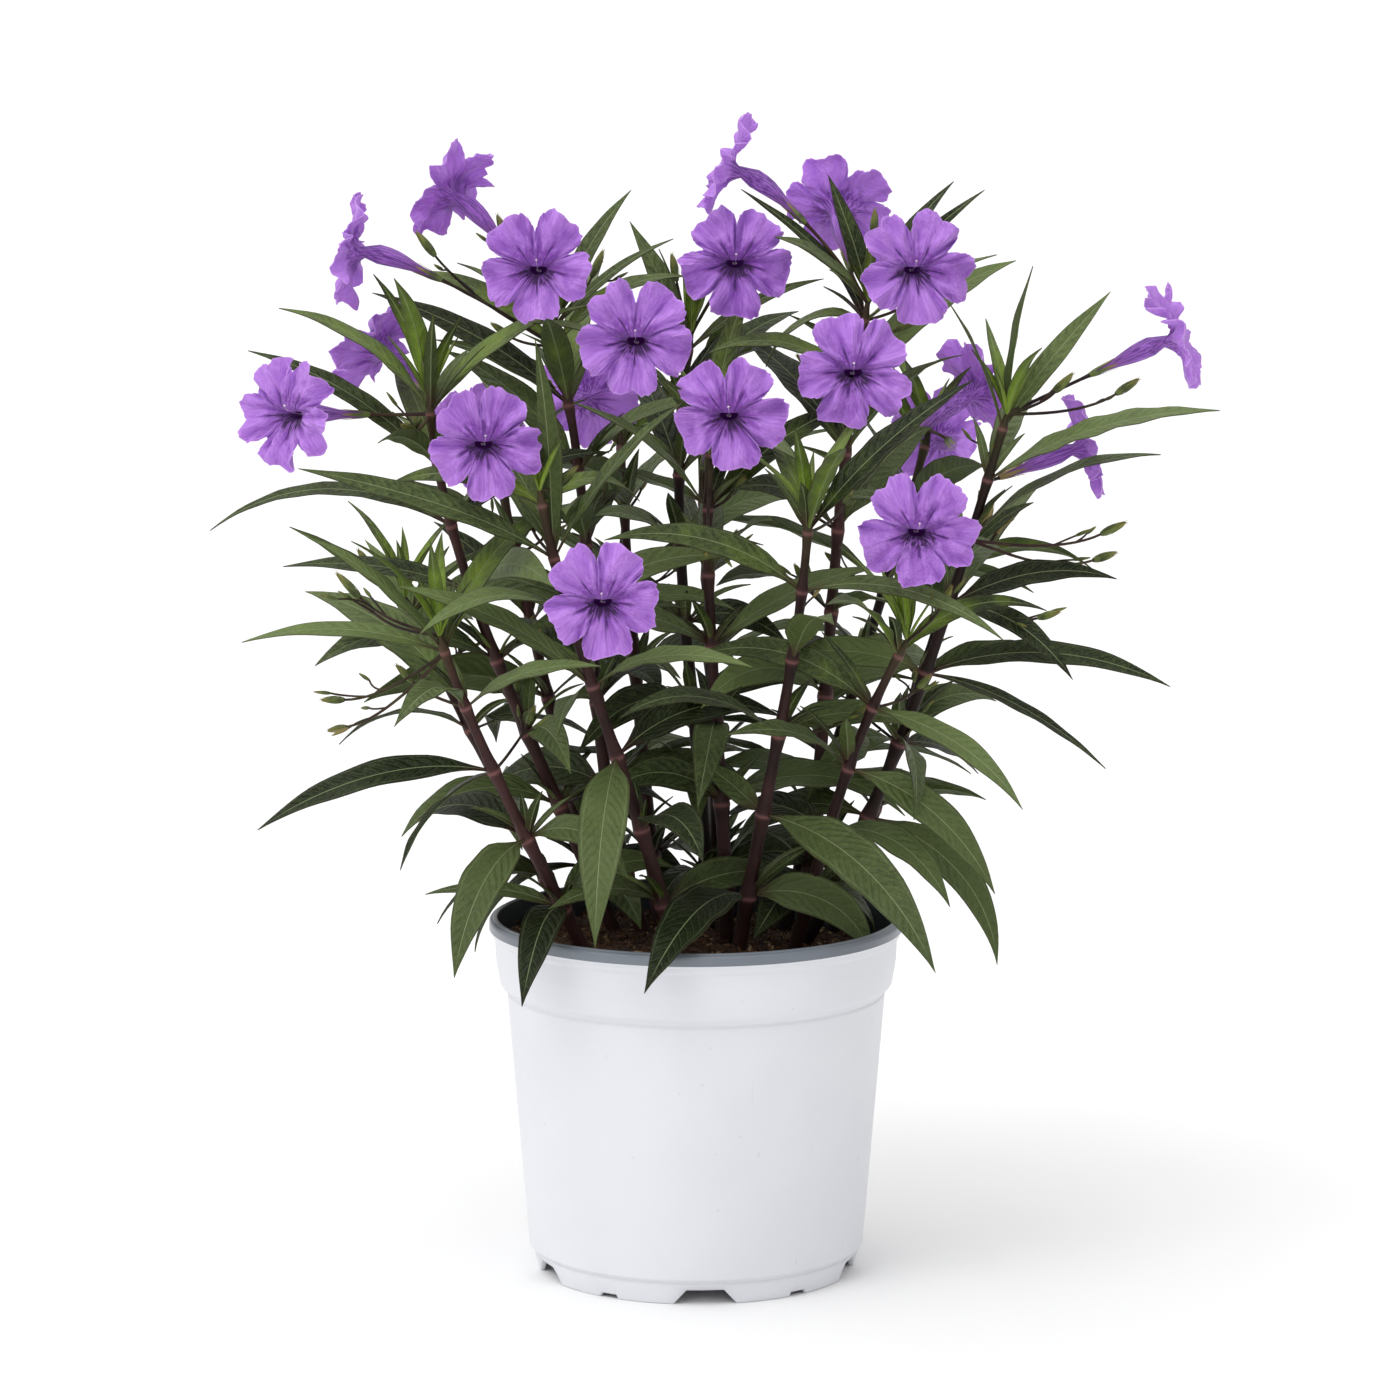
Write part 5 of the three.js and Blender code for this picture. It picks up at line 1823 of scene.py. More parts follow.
    def _bud(self, lines: StalkLines, pods: Whorls, entry: BudPlan, number: int) -> None:
        """Adds the stalk and body of one bud, and its sepals.

        Args:
            lines: where the stalks go.
            pods: where the sepals of the buds go.
            entry: the bud's plan.
            number: the bud.
        """
        _, node, tip_corner, length = entry
        start = STEMS[self.name].node_point(node)
        tip = np.array(tip_corner, float)
        direction = unit(unit(tip - start) + self.bud_lift * UP)
        base = tip - length * direction
        reach = float(np.linalg.norm(base - start))
        shares = np.linspace(0, 1, 12)
        stalk = bezier((start, base - 0.35 * reach * direction, base), shares)
        wobble = self.stalk_wobble * reach * np.sin(3 * math.pi * shares) * (1 - shares)
        stalk = stalk + wobble[:, None] * np.array([0.6, 0.8, 0.0])
        radius = self.stalk_radius * (1 - 0.25 * shares)
        lines.add(stalk, radius, StalkKind.FLOWER_STALK, draw(number, Family.PETAL), 0.6)
        self._forks(lines, pods, stalk, direction, number)
        shares = np.linspace(0, 1, 10)
        body = base + shares[:, None] * length * 0.93 * direction
        girth = self.bud_radius * min(1.0, 0.35 + length / 18)
        shape = girth * np.sin(math.pi * np.clip(shares, 0.06, 0.97)) ** self.bud_bluntness
        lines.add(body, shape, StalkKind.BUD, draw(number, Family.PETAL, 1), 1.0)
        pods.add(base, direction, length, girth * 1.12)

    def _spare_buds(self) -> list[BudPlan]:
        """Plans thin forked stalks with small pods beside some of the upper leaves.

        Returns:
            A plan for each.
        """
        stem, index = STEMS[self.name], list(STEMS).index(self.name)
        entries = []
        for node in range(2, stem.pairs):
            for side in (0, 1):
                keys = (index, Family.SPARE, 2 * node + side)
                if draw(*keys, Channel.CHANCE) > self.spare_share:
                    continue
                turn = math.radians(stem.turn + 90 * node + 180 * side + spread(35, *keys, Channel.TURN))
                rise = mix(self.spare_rise, draw(*keys, Channel.RISE))
                outward = unit(np.array([math.cos(turn), abs(math.sin(turn)), rise]))
                tip = stem.node_point(node) + mix(self.spare_reach, draw(*keys, Channel.LENGTH)) * outward
                length = mix(self.spare_length, draw(*keys, Channel.BUMP))
                entries.append((self.name, node, tuple(tip), length))
        return entries

    def stalks(self, grower: Grower, finish: Material) -> tuple[Piece, Whorls, Whorls]:
        """Builds the stem, the flower stalks and the buds' bodies as one piece.

        Args:
            grower: the tree for stalks.
            finish: the material.

        Returns:
            The piece, the whorls of its open calyxes and the whorls of its closed pods.
        """
        lines, calyxes, pods = StalkLines(), Whorls(), Whorls()
        self._stem_line(lines)
        for number, plan in enumerate(BLOOMS):
            if plan.stem == self.name:
                stalk = FlowerStalk(plan)
                points = stalk.line(16)
                girths = np.interp(np.linspace(0, 1, len(points)), (0, 0.1, 0.85, 1), (1.5, 1.1, 1, 1.7))
                radius = self.stalk_radius * girths
                lines.add(points, radius, StalkKind.FLOWER_STALK, draw(number, Family.BLOOM), 0.5)
                calyxes.add(stalk.end, stalk.calyx_direction, FlowerStalk.CALYX_LENGTH + 2.5, 1.75)
        for number, entry in enumerate([*BUDS, *self._spare_buds()]):
            if entry[0] == self.name:
                self._bud(lines, pods, entry, number)
        piece = lines.grow(f"stem_{self.name.lower()}_stalks", grower, finish, 10)
        return piece, calyxes, pods


# Blooms


@dataclass(frozen=True)
class Corolla:
    """A slim trumpet that opens in five broad crumpled lobes, each overlapping the next."""

    lobe_columns: int = 34
    lobe_rows: int = 13
    tube_rows: int = 8
    tube_radii: tuple[float, ...] = (1.1, 1.25, 1.6, 2.2, 2.8, 3.2, 3.5, 3.7, 3.8, 3.7)
    mouth_radius: float = 3.7
    mouth_depth: float = 7.0
    mouth_drop: float = 0.66
    mouth_squash: float = 0.5
    mouth_overhang: float = 4.8
    flare: float = 3.4
    flare_above: float = -2.0
    flare_below: float = 2.2
    notch_radius: float = 13.6
    lobe_outline: Profile = ((14.9, 10.4), (24.4, 11.8), (21.7, 0.0))
    corner_play: float = 2.0
    dent: float = 0.6
    dent_width: float = 2.2
    lobe_play: float = 0.09
    ragged: float = 0.26
    ragged_rates: tuple[int, ...] = (9, 17, 29)
    teeth: float = 0.42
    seam_depth: float = 0.4
    seam_width: float = 0.07
    half_thickness: float = 0.13
    cup: float = 3.4
    droop: float = 1.6
    ruffle: float = 2.2
    ruffle_rates: tuple[float, float] = (5.6, 11.5)
    crumple: float = 0.042
    crumple_rates: tuple[float, ...] = (6.0, 9.0, 13.0, 18.0)
    pleat: float = 0.26
    pleat_rate: float = 52.0
    groove: float = 0.7
    groove_width: float = 0.07
    overlap: float = 0.8
    limb_reach: float = 16.4
    tube_ribs: float = 0.07
    spin_play: float = 0.25
    thread_rows: tuple[float, ...] = (0.0, 0.35, 0.7, 0.88, 0.91, 0.94, 0.97, 1.0)
    style: Corner = (-0.8, 3.2, 0.4)
    style_radii: tuple[float, float] = (0.1, 0.55)
    stamens: tuple[Corner, ...] = (
        (-0.7, -0.3, -9.6), (0.6, -0.4, -10.4), (-0.3, -0.6, -12.0), (0.5, -0.6, -11.4),
    )
    stamen_radii: tuple[float, float] = (0.2, 0.42)

    def build(self, number: int, finishes: Sequence[Material]) -> Piece:
        """Builds one bloom.

        Args:
            number: its place in the list of blooms.
            finishes: the materials of the inside, the outside and the heart.

        Returns:
            The finished piece.
        """
        line = FlowerStalk(BLOOMS[number])
        draft = Draft()
        sheet = self._sheet(number, line)
        thickness = np.full(len(sheet.points), self.half_thickness)
        draft.shell(sheet, thickness, thickness, (0, 1))
        self._add_heart(draft, line, number)
        return draft.make(f"bloom_{number + 1:02d}_flower", finishes, crease=62.0)

    def _mouth(self, angles: Array) -> Array:
        """Gives the mouth of the tube in the bloom's own frame, flattened from above.

        Args:
            angles: the directions from its middle.

        Returns:
            For each direction the distances sideways, upward and forward.
        """
        raised = np.clip(np.sin(angles), 0, 1)
        upward = self.mouth_radius * np.sin(angles) * (self.mouth_drop - self.mouth_squash * raised)
        forward = self.mouth_overhang * raised**2 - self.mouth_depth
        return np.stack([self.mouth_radius * np.cos(angles), upward, forward], axis=-1)

    def _edge(self, side: Array, keys: Sequence[int]) -> Array:
        """Gives a lobe's outline.

        Args:
            side: the places along it, from -1 at one notch over 0 at the tip to 1 at the other notch.
            keys: what its draws depend on.

        Returns:
            The distances along the lobe's middle line and across it.
        """
        notch = self.notch_radius * np.array([math.cos(math.pi / 5), math.sin(math.pi / 5), 0.0])
        halves = []
        for hand in (0, 1):
            first, second, tip = (np.array([*corner, 0.0]) for corner in self.lobe_outline)
            first = first + (0, spread(self.corner_play, *keys, Channel.WIDTH, hand), 0)
            play = [spread(self.corner_play, *keys, Channel.SWEEP, hand, axis) for axis in (0, 1)]
            second = second + np.array([*play, 0.0])
            halves.append(bezier((notch, first, second, tip), 1 - np.abs(side))[:, :2])
        edge = np.where(side[:, None] < 0, halves[0], halves[1])
        edge = notch[:2] + (edge - notch[:2]) * (1 + spread(self.lobe_play, *keys, Channel.LENGTH))
        dent = 2 * self.dent * draw(*keys, Channel.BUMP)
        edge[:, 0] -= dent * np.exp(-((edge[:, 1] / self.dent_width) ** 2))
        closing = np.where(np.abs(side) == 1, notch[1] / np.abs(edge[0, 1]), 1)
        edge[:, 1] *= np.where(side < 0, -1, 1) * closing
        phases = {rate: 6.3 * draw(*keys, Channel.RUFFLE, rate) for rate in self.ragged_rates}
        waves = sum(np.sin(side * rate + phase) for rate, phase in phases.items())
        jagged = [spread(self.teeth, *keys, Channel.BUMP, number) for number in range(len(side))]
        return edge + unit(edge) * ((self.ragged * waves + jagged) * (1 - side**6))[:, None]

    def _crumple(self, side: Array, radius: Array, keys: Sequence[int]) -> Array:
        """Gives the height of the folds of thin petal, which run mostly outwards.

        Args:
            side: places across the lobe, from -1 to 1.
            radius: distances from the bloom's middle.
            keys: what its draws depend on.

        Returns:
            A height for each place.
        """
        height = np.zeros(radius.shape)
        for wave, rate in enumerate(self.crumple_rates):
            draws = (math.tau * draw(*keys, Channel.BUMP, wave, turn) for turn in range(3))
            bend, phase, stretch = draws
            length = math.tau * 12 / (rate * 0.63)
            sway = np.sin(radius / (1.6 + 0.5 * stretch) + bend) + 0.8 * np.sin(radius / 2.3 + stretch)
            height = height + length * np.sin(rate * side + phase + 0.9 * sway)
        return self.crumple * height

    def _lobe(self, number: int, lobe: int, spin: float) -> Surface:
        """Works out one lobe in the bloom's own frame.

        Args:
            number: the bloom.
            lobe: the lobe, counted from the lowest.
            spin: the turn of the lowest lobe.

        Returns:
            The points, their place and their nature, by row and column.
        """
        keys = (Family.PETAL, number, lobe)
        side = np.linspace(-1, 1, self.lobe_columns + 1)
        out = np.linspace(0, 1, self.lobe_rows + 1)[:, None]
        middle = spin + math.tau * lobe / 5
        angles = middle + math.pi / 5 * side
        mouth = self._mouth(angles)
        along, across = self._edge(side, keys).T
        cosine, sine = math.cos(middle), math.sin(middle)
        edge = np.stack([along * cosine - across * sine, along * sine + across * cosine], axis=-1)
        spots = mouth[:, :2] + (edge - mouth[:, :2]) * out[..., None]
        distance = np.linalg.norm(spots - mouth[:, :2], axis=-1)
        radius = np.linalg.norm(spots, axis=-1)
        inside = 1 - side**4
        rise = np.sin(angles)
        flare = self.flare + np.where(rise > 0, self.flare_above, -self.flare_below) * rise
        height = mouth[:, 2] * np.exp(-distance / flare)
        height = height + spread(self.cup, *keys, Channel.CURL) * inside * smooth(9, 22, radius)
        height = height - self.droop * draw(*keys, Channel.RISE) * inside * smooth(18, 25, radius)
        phase = math.tau * draw(*keys, Channel.RUFFLE)
        slow, fast = self.ruffle_rates
        waves = np.sin(side * slow + phase) + 0.7 * np.sin(side * fast + 2.3 * phase)
        height = height + self.ruffle * waves * inside * smooth(8, 22, radius)
        crumple = self._crumple(side, radius, keys) * smooth(1, 8, distance)
        height = height + crumple
        height = height + self.pleat * np.sin(side * self.pleat_rate + phase) * smooth(6, 14, distance)
        groove = np.exp(-((side / self.groove_width) ** 2)) * np.sin(math.pi * np.clip(out * 1.1, 0, 1))
        seam = np.exp(-(((1 - np.abs(side)) / self.seam_width) ** 2)) * np.sin(math.pi * out)
        height = height - self.groove * groove - self.seam_depth * seam
        lapped = np.where(side < 0, -1, 1) * smooth(0.2, 0.6, np.abs(side)) * inside**0.5
        outer = smooth(self.notch_radius - 1, self.notch_radius + 3.5, radius)
        height = height + self.overlap * lapped * outer
        # The fold value carries painted shade: it is low in the troughs of the crumples and at the seams,
        # where the petal finish darkens.
        fold = 0.5 + crumple / (30 * self.crumple) - 0.4 * seam
        points = np.concatenate([spots, height[..., None]], axis=-1)
        place = stacked(radius.shape, np.abs(side), distance / self.limb_reach, fold)
        return points, place, stacked(radius.shape, out, np.cos(angles), np.sin(angles))

    def _tube(self, line: FlowerStalk, spin: float) -> Surface:
        """Works out the trumpet from the calyx to the mouth.

        Args:
            line: the bloom's line.
            spin: the turn of the lowest lobe.

        Returns:
            The points in millimetres, their place and their nature, by ring and column.
        """
        columns = 5 * self.lobe_columns
        shares = np.linspace(0, 1, self.tube_rows)
        mouth_middle = line.throat - self.mouth_depth * line.facing
        start = line.end + 1.5 * line.calyx_direction
        bends = (line.calyx_mouth + 9 * line.calyx_direction, mouth_middle - 13 * line.facing)
        centres = bezier((start, *bends, mouth_middle), shares)
        tangents = tangents_of(centres)
        across = squared(line.sideways, tangents)
        other = np.cross(tangents, across)
        turn = full_turn(columns) - math.pi / 5
        angles = spin + turn
        radii = np.interp(shares, np.linspace(0, 1, len(self.tube_radii)), self.tube_radii)[:, None]
        radii = radii * (1 - self.tube_ribs * np.cos(5 * turn) * smooth(0.25, 0.6, shares)[:, None])
        lower = 1 - self.mouth_drop + self.mouth_squash * np.clip(np.sin(angles), 0, 1)
        flat = 1 - lower * smooth(0.84, 1, shares)[:, None]
        points = centres[:, None] + (radii * np.cos(angles))[..., None] * across[:, None]
        points = points + (radii * np.sin(angles) * flat)[..., None] * other[:, None]
        points[-1] = line.place(self._mouth(angles))
        side = np.abs((turn + math.pi / 5) % (math.tau / 5) / (math.pi / 5) - 1)
        place = stacked(points.shape[:2], side, shares[:, None] - 1, 0.5)
        return points, place, stacked(points.shape[:2], 0.0, np.cos(angles), np.sin(angles))

    def _sheet(self, number: int, line: FlowerStalk) -> Sheet:
        """Makes the trumpet and its lobes as one open surface that faces forward.

        Args:
            number: the bloom.
            line: the bloom's line.

        Returns:
            The sheet, in millimetres.
        """
        spin = -math.pi / 2 + spread(self.spin_play, Family.BLOOM, number, Channel.SPIN)
        lobes = [self._lobe(number, lobe, spin) for lobe in range(5)]
        limb = [np.concatenate([values[1:, :-1] for values in parts], axis=1) for parts in zip(*lobes)]
        for whole, last in zip(limb, lobes[-1]):
            whole[:, 0] = last[1:, -1]
        limb[0] = line.place(limb[0])
        return woven(*(np.concatenate(parts) for parts in zip(self._tube(line, spin), limb)), closed=True)

    def _add_heart(self, draft: Draft, line: FlowerStalk, number: int) -> None:
        """Adds the style with its stigma and four stamens, under the upper wall of the throat.

        Args:
            draft: the piece that it joins.
            line: the bloom's line.
            number: the bloom.
        """
        lean = spread(0.5, Family.PETAL, number, Channel.SWEEP)
        back = np.array([0.0, -0.4, -15.0])
        bend, upward, forward = self.style
        corners = np.array([back, (0, bend, 1.0), (lean, upward, forward)])
        self._add_thread(draft, line.place(corners), *self.style_radii)
        for anther in np.array(self.stamens):
            corners = np.array([back, anther - (0, 0, 4), anther])
            self._add_thread(draft, line.place(corners), *self.stamen_radii)

    def _add_thread(self, draft: Draft, corners: Array, radius: float, knob: float) -> None:
        """Adds a thin thread with a knob at its end.

        Args:
            draft: the piece that it joins.
            corners: the curve that it follows.
            radius: its radius.
            knob: the radius of the knob.
        """
        girth = np.array([radius, radius, radius, radius, 0.75 * knob, knob, 0.8 * knob, 0.25 * knob])
        centres = bezier(corners, self.thread_rows)
        tangents = tangents_of(centres)
        across = squared(np.array([0.31, 0.2, 0.93]), tangents)
        angles = full_turn(7)[:, None]
        spokes = np.cos(angles) * across[:, None] + np.sin(angles) * np.cross(tangents, across)[:, None]
        draft.turned(centres[:, None] + girth[:, None, None] * spokes, 2)


# Pot and soil


def rounded(corners: Sequence[Corner], radius: float, steps: int = 3) -> Array:
    """Rounds the corners of a profile.

    Args:
        corners: radius, height and layer of each corner, from the axis back to the axis.
        radius: how far from a corner its rounding starts.
        steps: how many faces a corner has.

    Returns:
        The same three values for each point of the rounded profile.
    """
    spots = [np.array(corner, float) for corner in corners]
    rounded_spots = [spots[0]]
    for before, corner, after in zip(spots, spots[1:], spots[2:]):
        reach = [min(radius, 0.42 * float(np.linalg.norm((end - corner)[:2]))) for end in (before, after)]
        ends = [corner + (end - corner) * amount / float(np.linalg.norm((end - corner)[:2]))
                for end, amount in zip((before, after), reach)]
        for spot in ends:
            spot[2] = corner[2]
        rounded_spots.extend(bezier((ends[0], corner, ends[1]), np.linspace(0, 1, steps + 1)))
    return np.array([*rounded_spots, spots[-1]])


@dataclass
class Pot:
    """A round nursery pot with a collar, a rolled lip, a notched foot and drain holes."""

    columns: int = 168
    rounding: float = 0.7
    floor_height: float = 6.4
    foot_top: float = 8.2
    notch_turn: float = 3.3
    notch_count: int = 5
    wide_notch: Corner = (11.4, 6.66, 5.8)
    small_notch: Corner = (3.9, 3.1, 1.7)
    drain_radius: float = 5.0
    drain_circle: float = 50.0
    drain_cut: tuple[float, float] = (4.0, 10.0)
    outside: Profile = (
        (64.6, 0), (66.7, 8.2), (66.2, 8.8), (66.5, 9.4), (68.4, 10.6), (77.0, 114.6), (76.5, 115.3),
        (76.8, 116.0), (79.7, 118.6), (80.1, 119.9), (81.5, 129), (81.8, 137.4), (82.9, 138.2), (83.1, 139.9),
        (83.2, 140.3), (84.1, 140.7),
    )
    lip: Profile = (
        (84.15, 141.8), (84.2, 144.2), (83.5, 145.3), (82.6, 145.4), (82.2, 146.0), (80.8, 146.0),
    )
    inside: Profile = ((80.0, 128.0), (78.2, 119.4), (75.7, 115.9), (66.8, 10.2), (64.4, 7.8))

    def profile(self) -> Array:
        """Gives the profile with the layer at each point: 0 white, 1 lip, 2 inside.

        Returns:
            Radius, height and layer of each point.
        """
        corners = [(0.0, self.floor_height, 0.0), (62.4, self.floor_height, 0.0), (62.6, 0.0, 0.0)]
        for layer, profile in enumerate((self.outside, self.lip, self.inside)):
            corners += [(radius, height, layer) for radius, height in profile]
        return rounded([*corners, (0.0, self.inside[-1][1], 2.0)], self.rounding)

    def notch_height(self, angles: Array) -> Array:
        """Gives how high the foot's edge stands above the floor at each angle.

        Args:
            angles: directions round the axis.

        Returns:
            A height for each.
        """
        step = 360 / self.notch_count
        height = np.zeros_like(angles)
        for (bottom, top, rise), shift in ((self.wide_notch, 0.0), (self.small_notch, step / 2)):
            away = np.abs((angles + 90 - self.notch_turn - shift + step / 2) % step - step / 2)
            height = np.maximum(height, rise * np.clip((bottom - away) / (bottom - top), 0, 1))
        return height

    def column_angles(self) -> Array:
        """Gives evenly spaced angles, with the corners of the notches among them.

        Returns:
            The angles, in order.
        """
        step = 360 / self.notch_count
        corners = [
            -90 + self.notch_turn + shift + step * number + sign * turn
            for notch, shift in ((self.wide_notch, 0.0), (self.small_notch, step / 2))
            for turn in notch[:2] for number in range(self.notch_count) for sign in (-1, 1)
        ]
        corners = np.array(corners) % 360
        even = np.arange(self.columns) * 360 / self.columns
        apart = np.min(np.abs((even[:, None] - corners + 180) % 360 - 180), axis=1)
        return np.sort(np.concatenate([even[apart > 0.7], corners]))

    def build(self, finishes: Sequence[Material]) -> Piece:
        """Builds the pot and cuts its drain holes.

        Args:
            finishes: the materials of the outside, the lip and the inside.

        Returns:
            The finished piece.
        """
        angles = self.column_angles()
        notch = self.notch_height(angles)
        profile = self.profile()[1:-1]
        radius, height = profile[:, 0, None], profile[:, 1, None]
        layers = np.maximum(profile[1:, 2], profile[:-1, 2]).round().astype(int)
        top = np.where(radius < 63, self.floor_height, self.foot_top)
        lifted = np.where(height < top, notch + height * (top - notch) / top, height)
        low = (height < top) & (np.arange(len(profile))[:, None] < len(profile) // 2)
        height = np.where(low, lifted, height)
        draft = Draft()
        draft.turned(around(radius, np.radians(angles), height), layers)
        pot = draft.make("pot_shell", finishes, crease=35.0)
        self._drill(pot)
        return pot

    def _drill(self, pot: Piece) -> None:
        """Cuts the drain holes through the floor.

        Args:
            pot: the pot.
        """
        draft = Draft()
        step = 360 / self.notch_count
        for number in range(self.notch_count):
            angle = math.radians(-90 + self.notch_turn + step * (number + 0.5))
            centre = self.drain_circle * np.array([math.cos(angle), math.sin(angle), 0])
            spokes = [around(self.drain_radius, full_turn(24), height) for height in self.drain_cut]
            draft.turned(centre + np.stack(spokes), 0)
        cutter = draft.make("drain_cutter", [])
        cut = pot.modifiers.new("drains", "BOOLEAN")
        cut.object = cutter
        cut.solver = "EXACT"
        mesh = evaluated(pot)
        pot.modifiers.remove(cut)
        pot.data = mesh
        bpy.data.objects.remove(cutter)


@dataclass(frozen=True)
class Scatter:
    """A kind of crumb: its name, number on a square metre, least and greatest half sizes, and seed."""

    name: str
    density: float
    least: Corner
    greatest: Corner
    seed: int


@dataclass
class SoilBed:
    """Potting soil that fills the pot, with loose crumbs, bark chips and root fibres on it."""

    columns: int = 150
    rows: int = 44
    top: float = 136.0
    radius: float = 79.3
    middle: float = 0.012
    slope: tuple[float, float] = (-0.045, -0.018)
    mound: float = 4.0
    waves: int = 16
    wave_lengths: tuple[float, float] = (7.0, 46.0)
    wave_height: float = 0.6325
    wall: Profile = ((63.4, 8.2), (66.2, 10.2), (75.1, 115.9), (77.6, 119.4), (79.3, 128.0))
    crumb_roughness: float = 1.6
    scatters: tuple[Scatter, ...] = (
        Scatter("soil_grains", 95000.0, (0.4, 0.3, 0.25), (1.3, 0.9, 0.7), 4),
        Scatter("soil_chips", 19000.0, (1.6, 0.7, 0.4), (4.2, 1.6, 1.0), 9),
    )
    fibres: int = 46
    fibre_points: int = 14
    fibre_lengths: tuple[float, float] = (9.0, 24.0)
    fibre_radii: tuple[float, float] = (0.14, 0.32)

    def height(self, x: Array, y: Array) -> Array:
        """Gives the height of the surface over points of the floor plan.

        Args:
            x: how far right each point lies.
            y: how far back it lies.

        Returns:
            A height for each.
        """
        level = self.top - 3 + self.mound * (1 - np.hypot(x, y) / 80) + self.slope[0] * x + self.slope[1] * y
        for wave in range(self.waves):
            angle = math.tau * draw(Family.SOIL, wave, 1)
            length = mix(self.wave_lengths, draw(Family.SOIL, wave, 2) ** 1.6)
            phase = math.tau * draw(Family.SOIL, wave, 3)
            push = np.sin(math.tau * (x * math.cos(angle) + y * math.sin(angle)) / length + phase)
            level = level + self.wave_height * (length / self.wave_lengths[1]) ** 0.6 * push
        return level

    def _top_rings(self) -> Array:
        """Gives the points of the top, ring by ring from the wall to the middle.

        Returns:
            The points by ring and column.
        """
        radius = self.radius * np.linspace(1, self.middle, self.rows)[:, None]
        rings = around(radius, full_turn(self.columns), 0.0)
        rings[..., 2] = self.height(rings[..., 0], rings[..., 1])
        return rings

    def bed(self, finish: Material) -> Piece:
        """Builds the body of the soil.

        Args:
            finish: the material.

        Returns:
            The finished piece.
        """
        walls = [around(radius, full_turn(self.columns), height) for radius, height in self.wall]
        draft = Draft()
        draft.turned(np.concatenate([np.stack(walls), self._top_rings()]), 0)
        return draft.make("soil_bed", [finish], crease=80.0)

    def crumbs(self, scatter: Scatter, grower: Grower, finish: Material) -> Piece:
        """Scatters crumbs on the bed.

        Args:
            scatter: the kind of crumb.
            grower: the tree for crumbs.
            finish: the material.

        Returns:
            The finished piece.
        """
        rings = self._top_rings()[1:]
        faces = grid_faces(len(rings), self.columns, closed=True)[:, ::-1]
        label = f"{scatter.name}_ground"
        values = {
            "Finish": finish, "Density": scatter.density, "Seed": scatter.seed,
            "Roughness": self.crumb_roughness * MM,
            "Smallest": tuple(size * MM for size in scatter.least),
            "Largest": tuple(size * MM for size in scatter.greatest),
        }
        return grower.grow(scatter.name, placed(label, traced(label, rings, faces=faces.tolist())), values)

    def roots(self, grower: Grower, finish: Material) -> Piece:
        """Lays thin root fibres over the bed.

        Args:
            grower: the tree for stalks.
            finish: the material.

        Returns:
            The finished piece.
        """
        lines = StalkLines()
        for number in range(self.fibres):
            keys = (Family.FIBRE, number)
            away = 74 * math.sqrt(draw(*keys, 1))
            turn, heading = math.tau * draw(*keys, 2), math.tau * draw(*keys, 3)
            steps = np.linspace(-0.5, 0.5, self.fibre_points) * mix(self.fibre_lengths, draw(*keys, 4))
            bow = mix((-0.03, 0.03), draw(*keys, 5)) * steps**2
            x = away * math.cos(turn) + steps * math.cos(heading) - bow * math.sin(heading)
            y = away * math.sin(turn) + steps * math.sin(heading) + bow * math.cos(heading)
            inward = np.minimum(1, 77 / np.maximum(np.hypot(x, y), 1))
            x, y = x * inward, y * inward
            hop = 1.3 + 1.1 * np.sin(steps * 0.4 + 6 * draw(*keys, 6))
            points = np.stack([x, y, self.height(x, y) + hop], axis=-1)
            radius = np.full(len(points), mix(self.fibre_radii, draw(*keys, 7)))
            lines.add(points, radius, StalkKind.FLOWER_STALK, draw(*keys, 8))
        return lines.grow("soil_fibres", grower, finish, 5)


# Studio


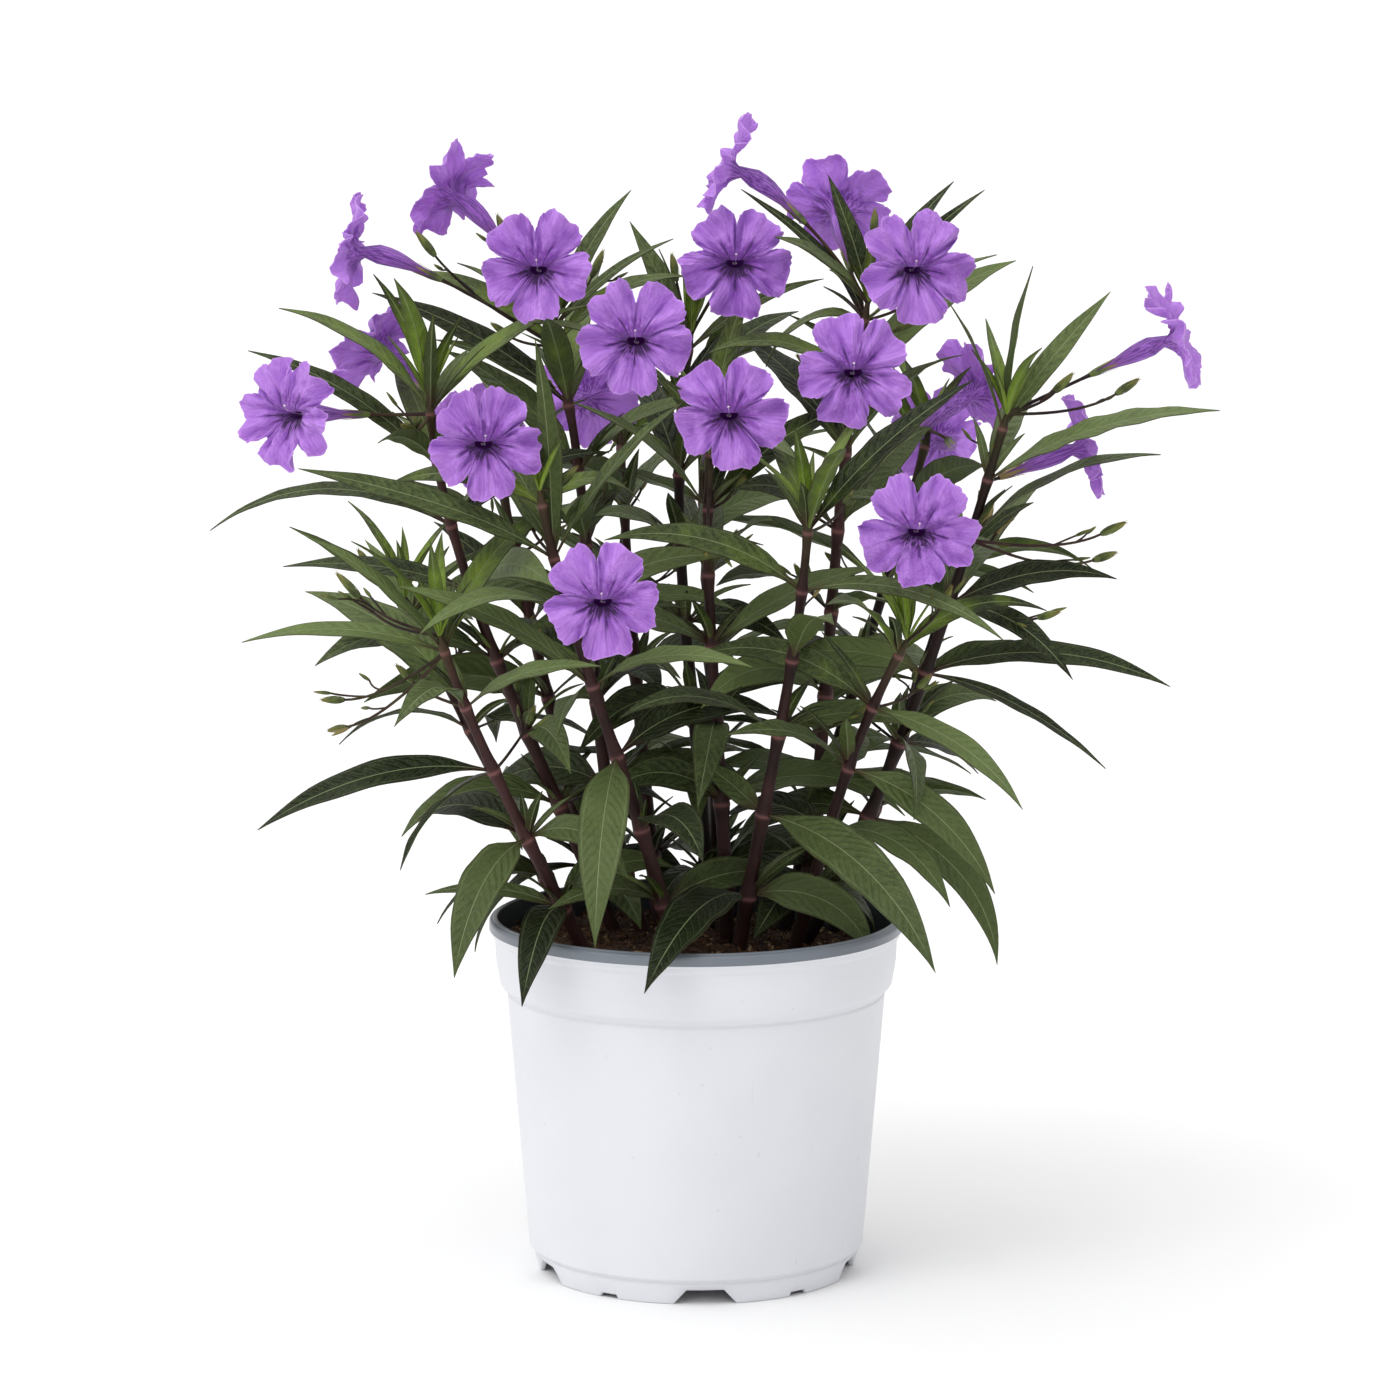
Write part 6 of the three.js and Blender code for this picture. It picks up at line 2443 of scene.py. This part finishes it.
@dataclass
class Studio:
    """A pale floor, soft light and the camera, in metres."""

    floor_radius: float = 60.0
    floor_corners: int = 64
    camera_place: Corner = (0.0016, -2.060, 0.543)
    camera_pitch: float = 81.474
    focal_pixels: float = 5150.0
    picture_pixels: float = 1400.0
    sensor: float = 36.0
    camera_sees: tuple[float, float] = (0.05, 200.0)
    sky_low: float = 0.46
    sky_rise: float = 0.66
    side_glow: float = 0.6
    side_from: Corner = (-0.85, -0.25, 0.45)
    key_strength: float = 0.5
    key_breadth: float = 24.0
    key_turn: Corner = (32.0, 0.0, -38.0)

    def floor(self) -> None:
        """Lays the floor."""
        rim = around(self.floor_radius / MM, full_turn(self.floor_corners), 0.0)
        floor = placed("floor", traced("floor", rim, faces=[list(range(self.floor_corners))]))
        floor.data.materials.append(FloorFinish().material())

    def light(self) -> None:
        """Lights the scene with a pale sky, brighter overhead and on the left, and one soft lamp."""
        world = bpy.data.worlds.new("pale_sky")
        world.use_nodes = True
        world.node_tree.nodes.clear()
        board = Wiring(world.node_tree)
        direction = board.add("ShaderNodeTexCoord").outputs["Generated"]
        parts = [Wire(board, part) for part in board.add("ShaderNodeSeparateXYZ", {}, {0: direction}).outputs]
        lobe = sum((part * amount for part, amount in zip(parts, self.side_from)), 0.0).math("MAXIMUM", 0.0)
        strength = self.sky_low + self.sky_rise * parts[2].rise(0.0, 1.0) + self.side_glow * lobe
        sky = board.add("ShaderNodeBackground", {}, {"Color": (1.0, 1.0, 1.0, 1.0), "Strength": strength})
        board.add("ShaderNodeOutputWorld", {}, {"Surface": sky.outputs[0]})
        bpy.context.scene.world = world
        light = bpy.data.lights.new("key", "SUN")
        light.energy = self.key_strength
        light.angle = math.radians(self.key_breadth)
        placed("key", light).rotation_euler = tuple(math.radians(turn) for turn in self.key_turn)

    def camera(self) -> None:
        """Sets up the camera where the picture was taken from."""
        data = bpy.data.cameras.new("camera")
        data.sensor_width = self.sensor
        data.lens = self.focal_pixels / self.picture_pixels * self.sensor
        data.clip_start, data.clip_end = self.camera_sees
        data.dof.use_dof = False
        camera = placed("camera", data)
        camera.location = self.camera_place
        camera.rotation_euler = (math.radians(self.camera_pitch), 0.0, 0.0)
        bpy.context.scene.camera = camera

    def build(self) -> None:
        """Builds the studio and sets plain colour management."""
        self.floor()
        self.light()
        self.camera()
        bpy.context.scene.view_settings.view_transform = "Standard"


def main() -> None:
    """Builds the pot, the soil, the stems, the blooms and the studio."""
    logging.basicConfig(level=logging.INFO, format="%(message)s")
    Studio().build()
    show(Pot().build([finish.material() for finish in POT_FINISHES]), ["pot"])
    soil = SoilBed()
    show(soil.bed(SoilFinish("soil_peat").material()), ["soil"])
    crumbs, crumb_finish = crumb_grower(), SoilFinish("soil_crumbs", crumbs=True).material()
    for scatter in soil.scatters:
        show(soil.crumbs(scatter, crumbs, crumb_finish))
    stalk_tree, whorl_tree = stalk_grower(), whorl_grower()
    bark, sepal = StalkFinish().material(), SepalFinish().material()
    show(soil.roots(stalk_tree, crumb_finish))
    leaf_finishes = [LEAF_TOP.material(), LEAF_BACK.material()]
    for name in STEMS:
        stem = LeafyStem(name)
        node = f"stem_{name.lower()}"
        piece, calyxes, pods = stem.stalks(stalk_tree, bark)
        show(piece, [node])
        for label, whorls, radii in (("calyxes", calyxes, stem.calyx_radii), ("pods", pods, stem.pod_radii)):
            if whorls.spots:
                show(whorls.grow(f"{node}_{label}", whorl_tree, sepal, radii), [node])
        show(stem.leaves(leaf_finishes), [node])
    petal_finishes = [PETAL_INSIDE.material(), PETAL_OUTSIDE.material(), HeartFinish().material()]
    for number in range(len(BLOOMS)):
        show(Corolla().build(number, petal_finishes), [f"bloom_{number + 1:02d}"])


if __name__ == "__main__":
    main()
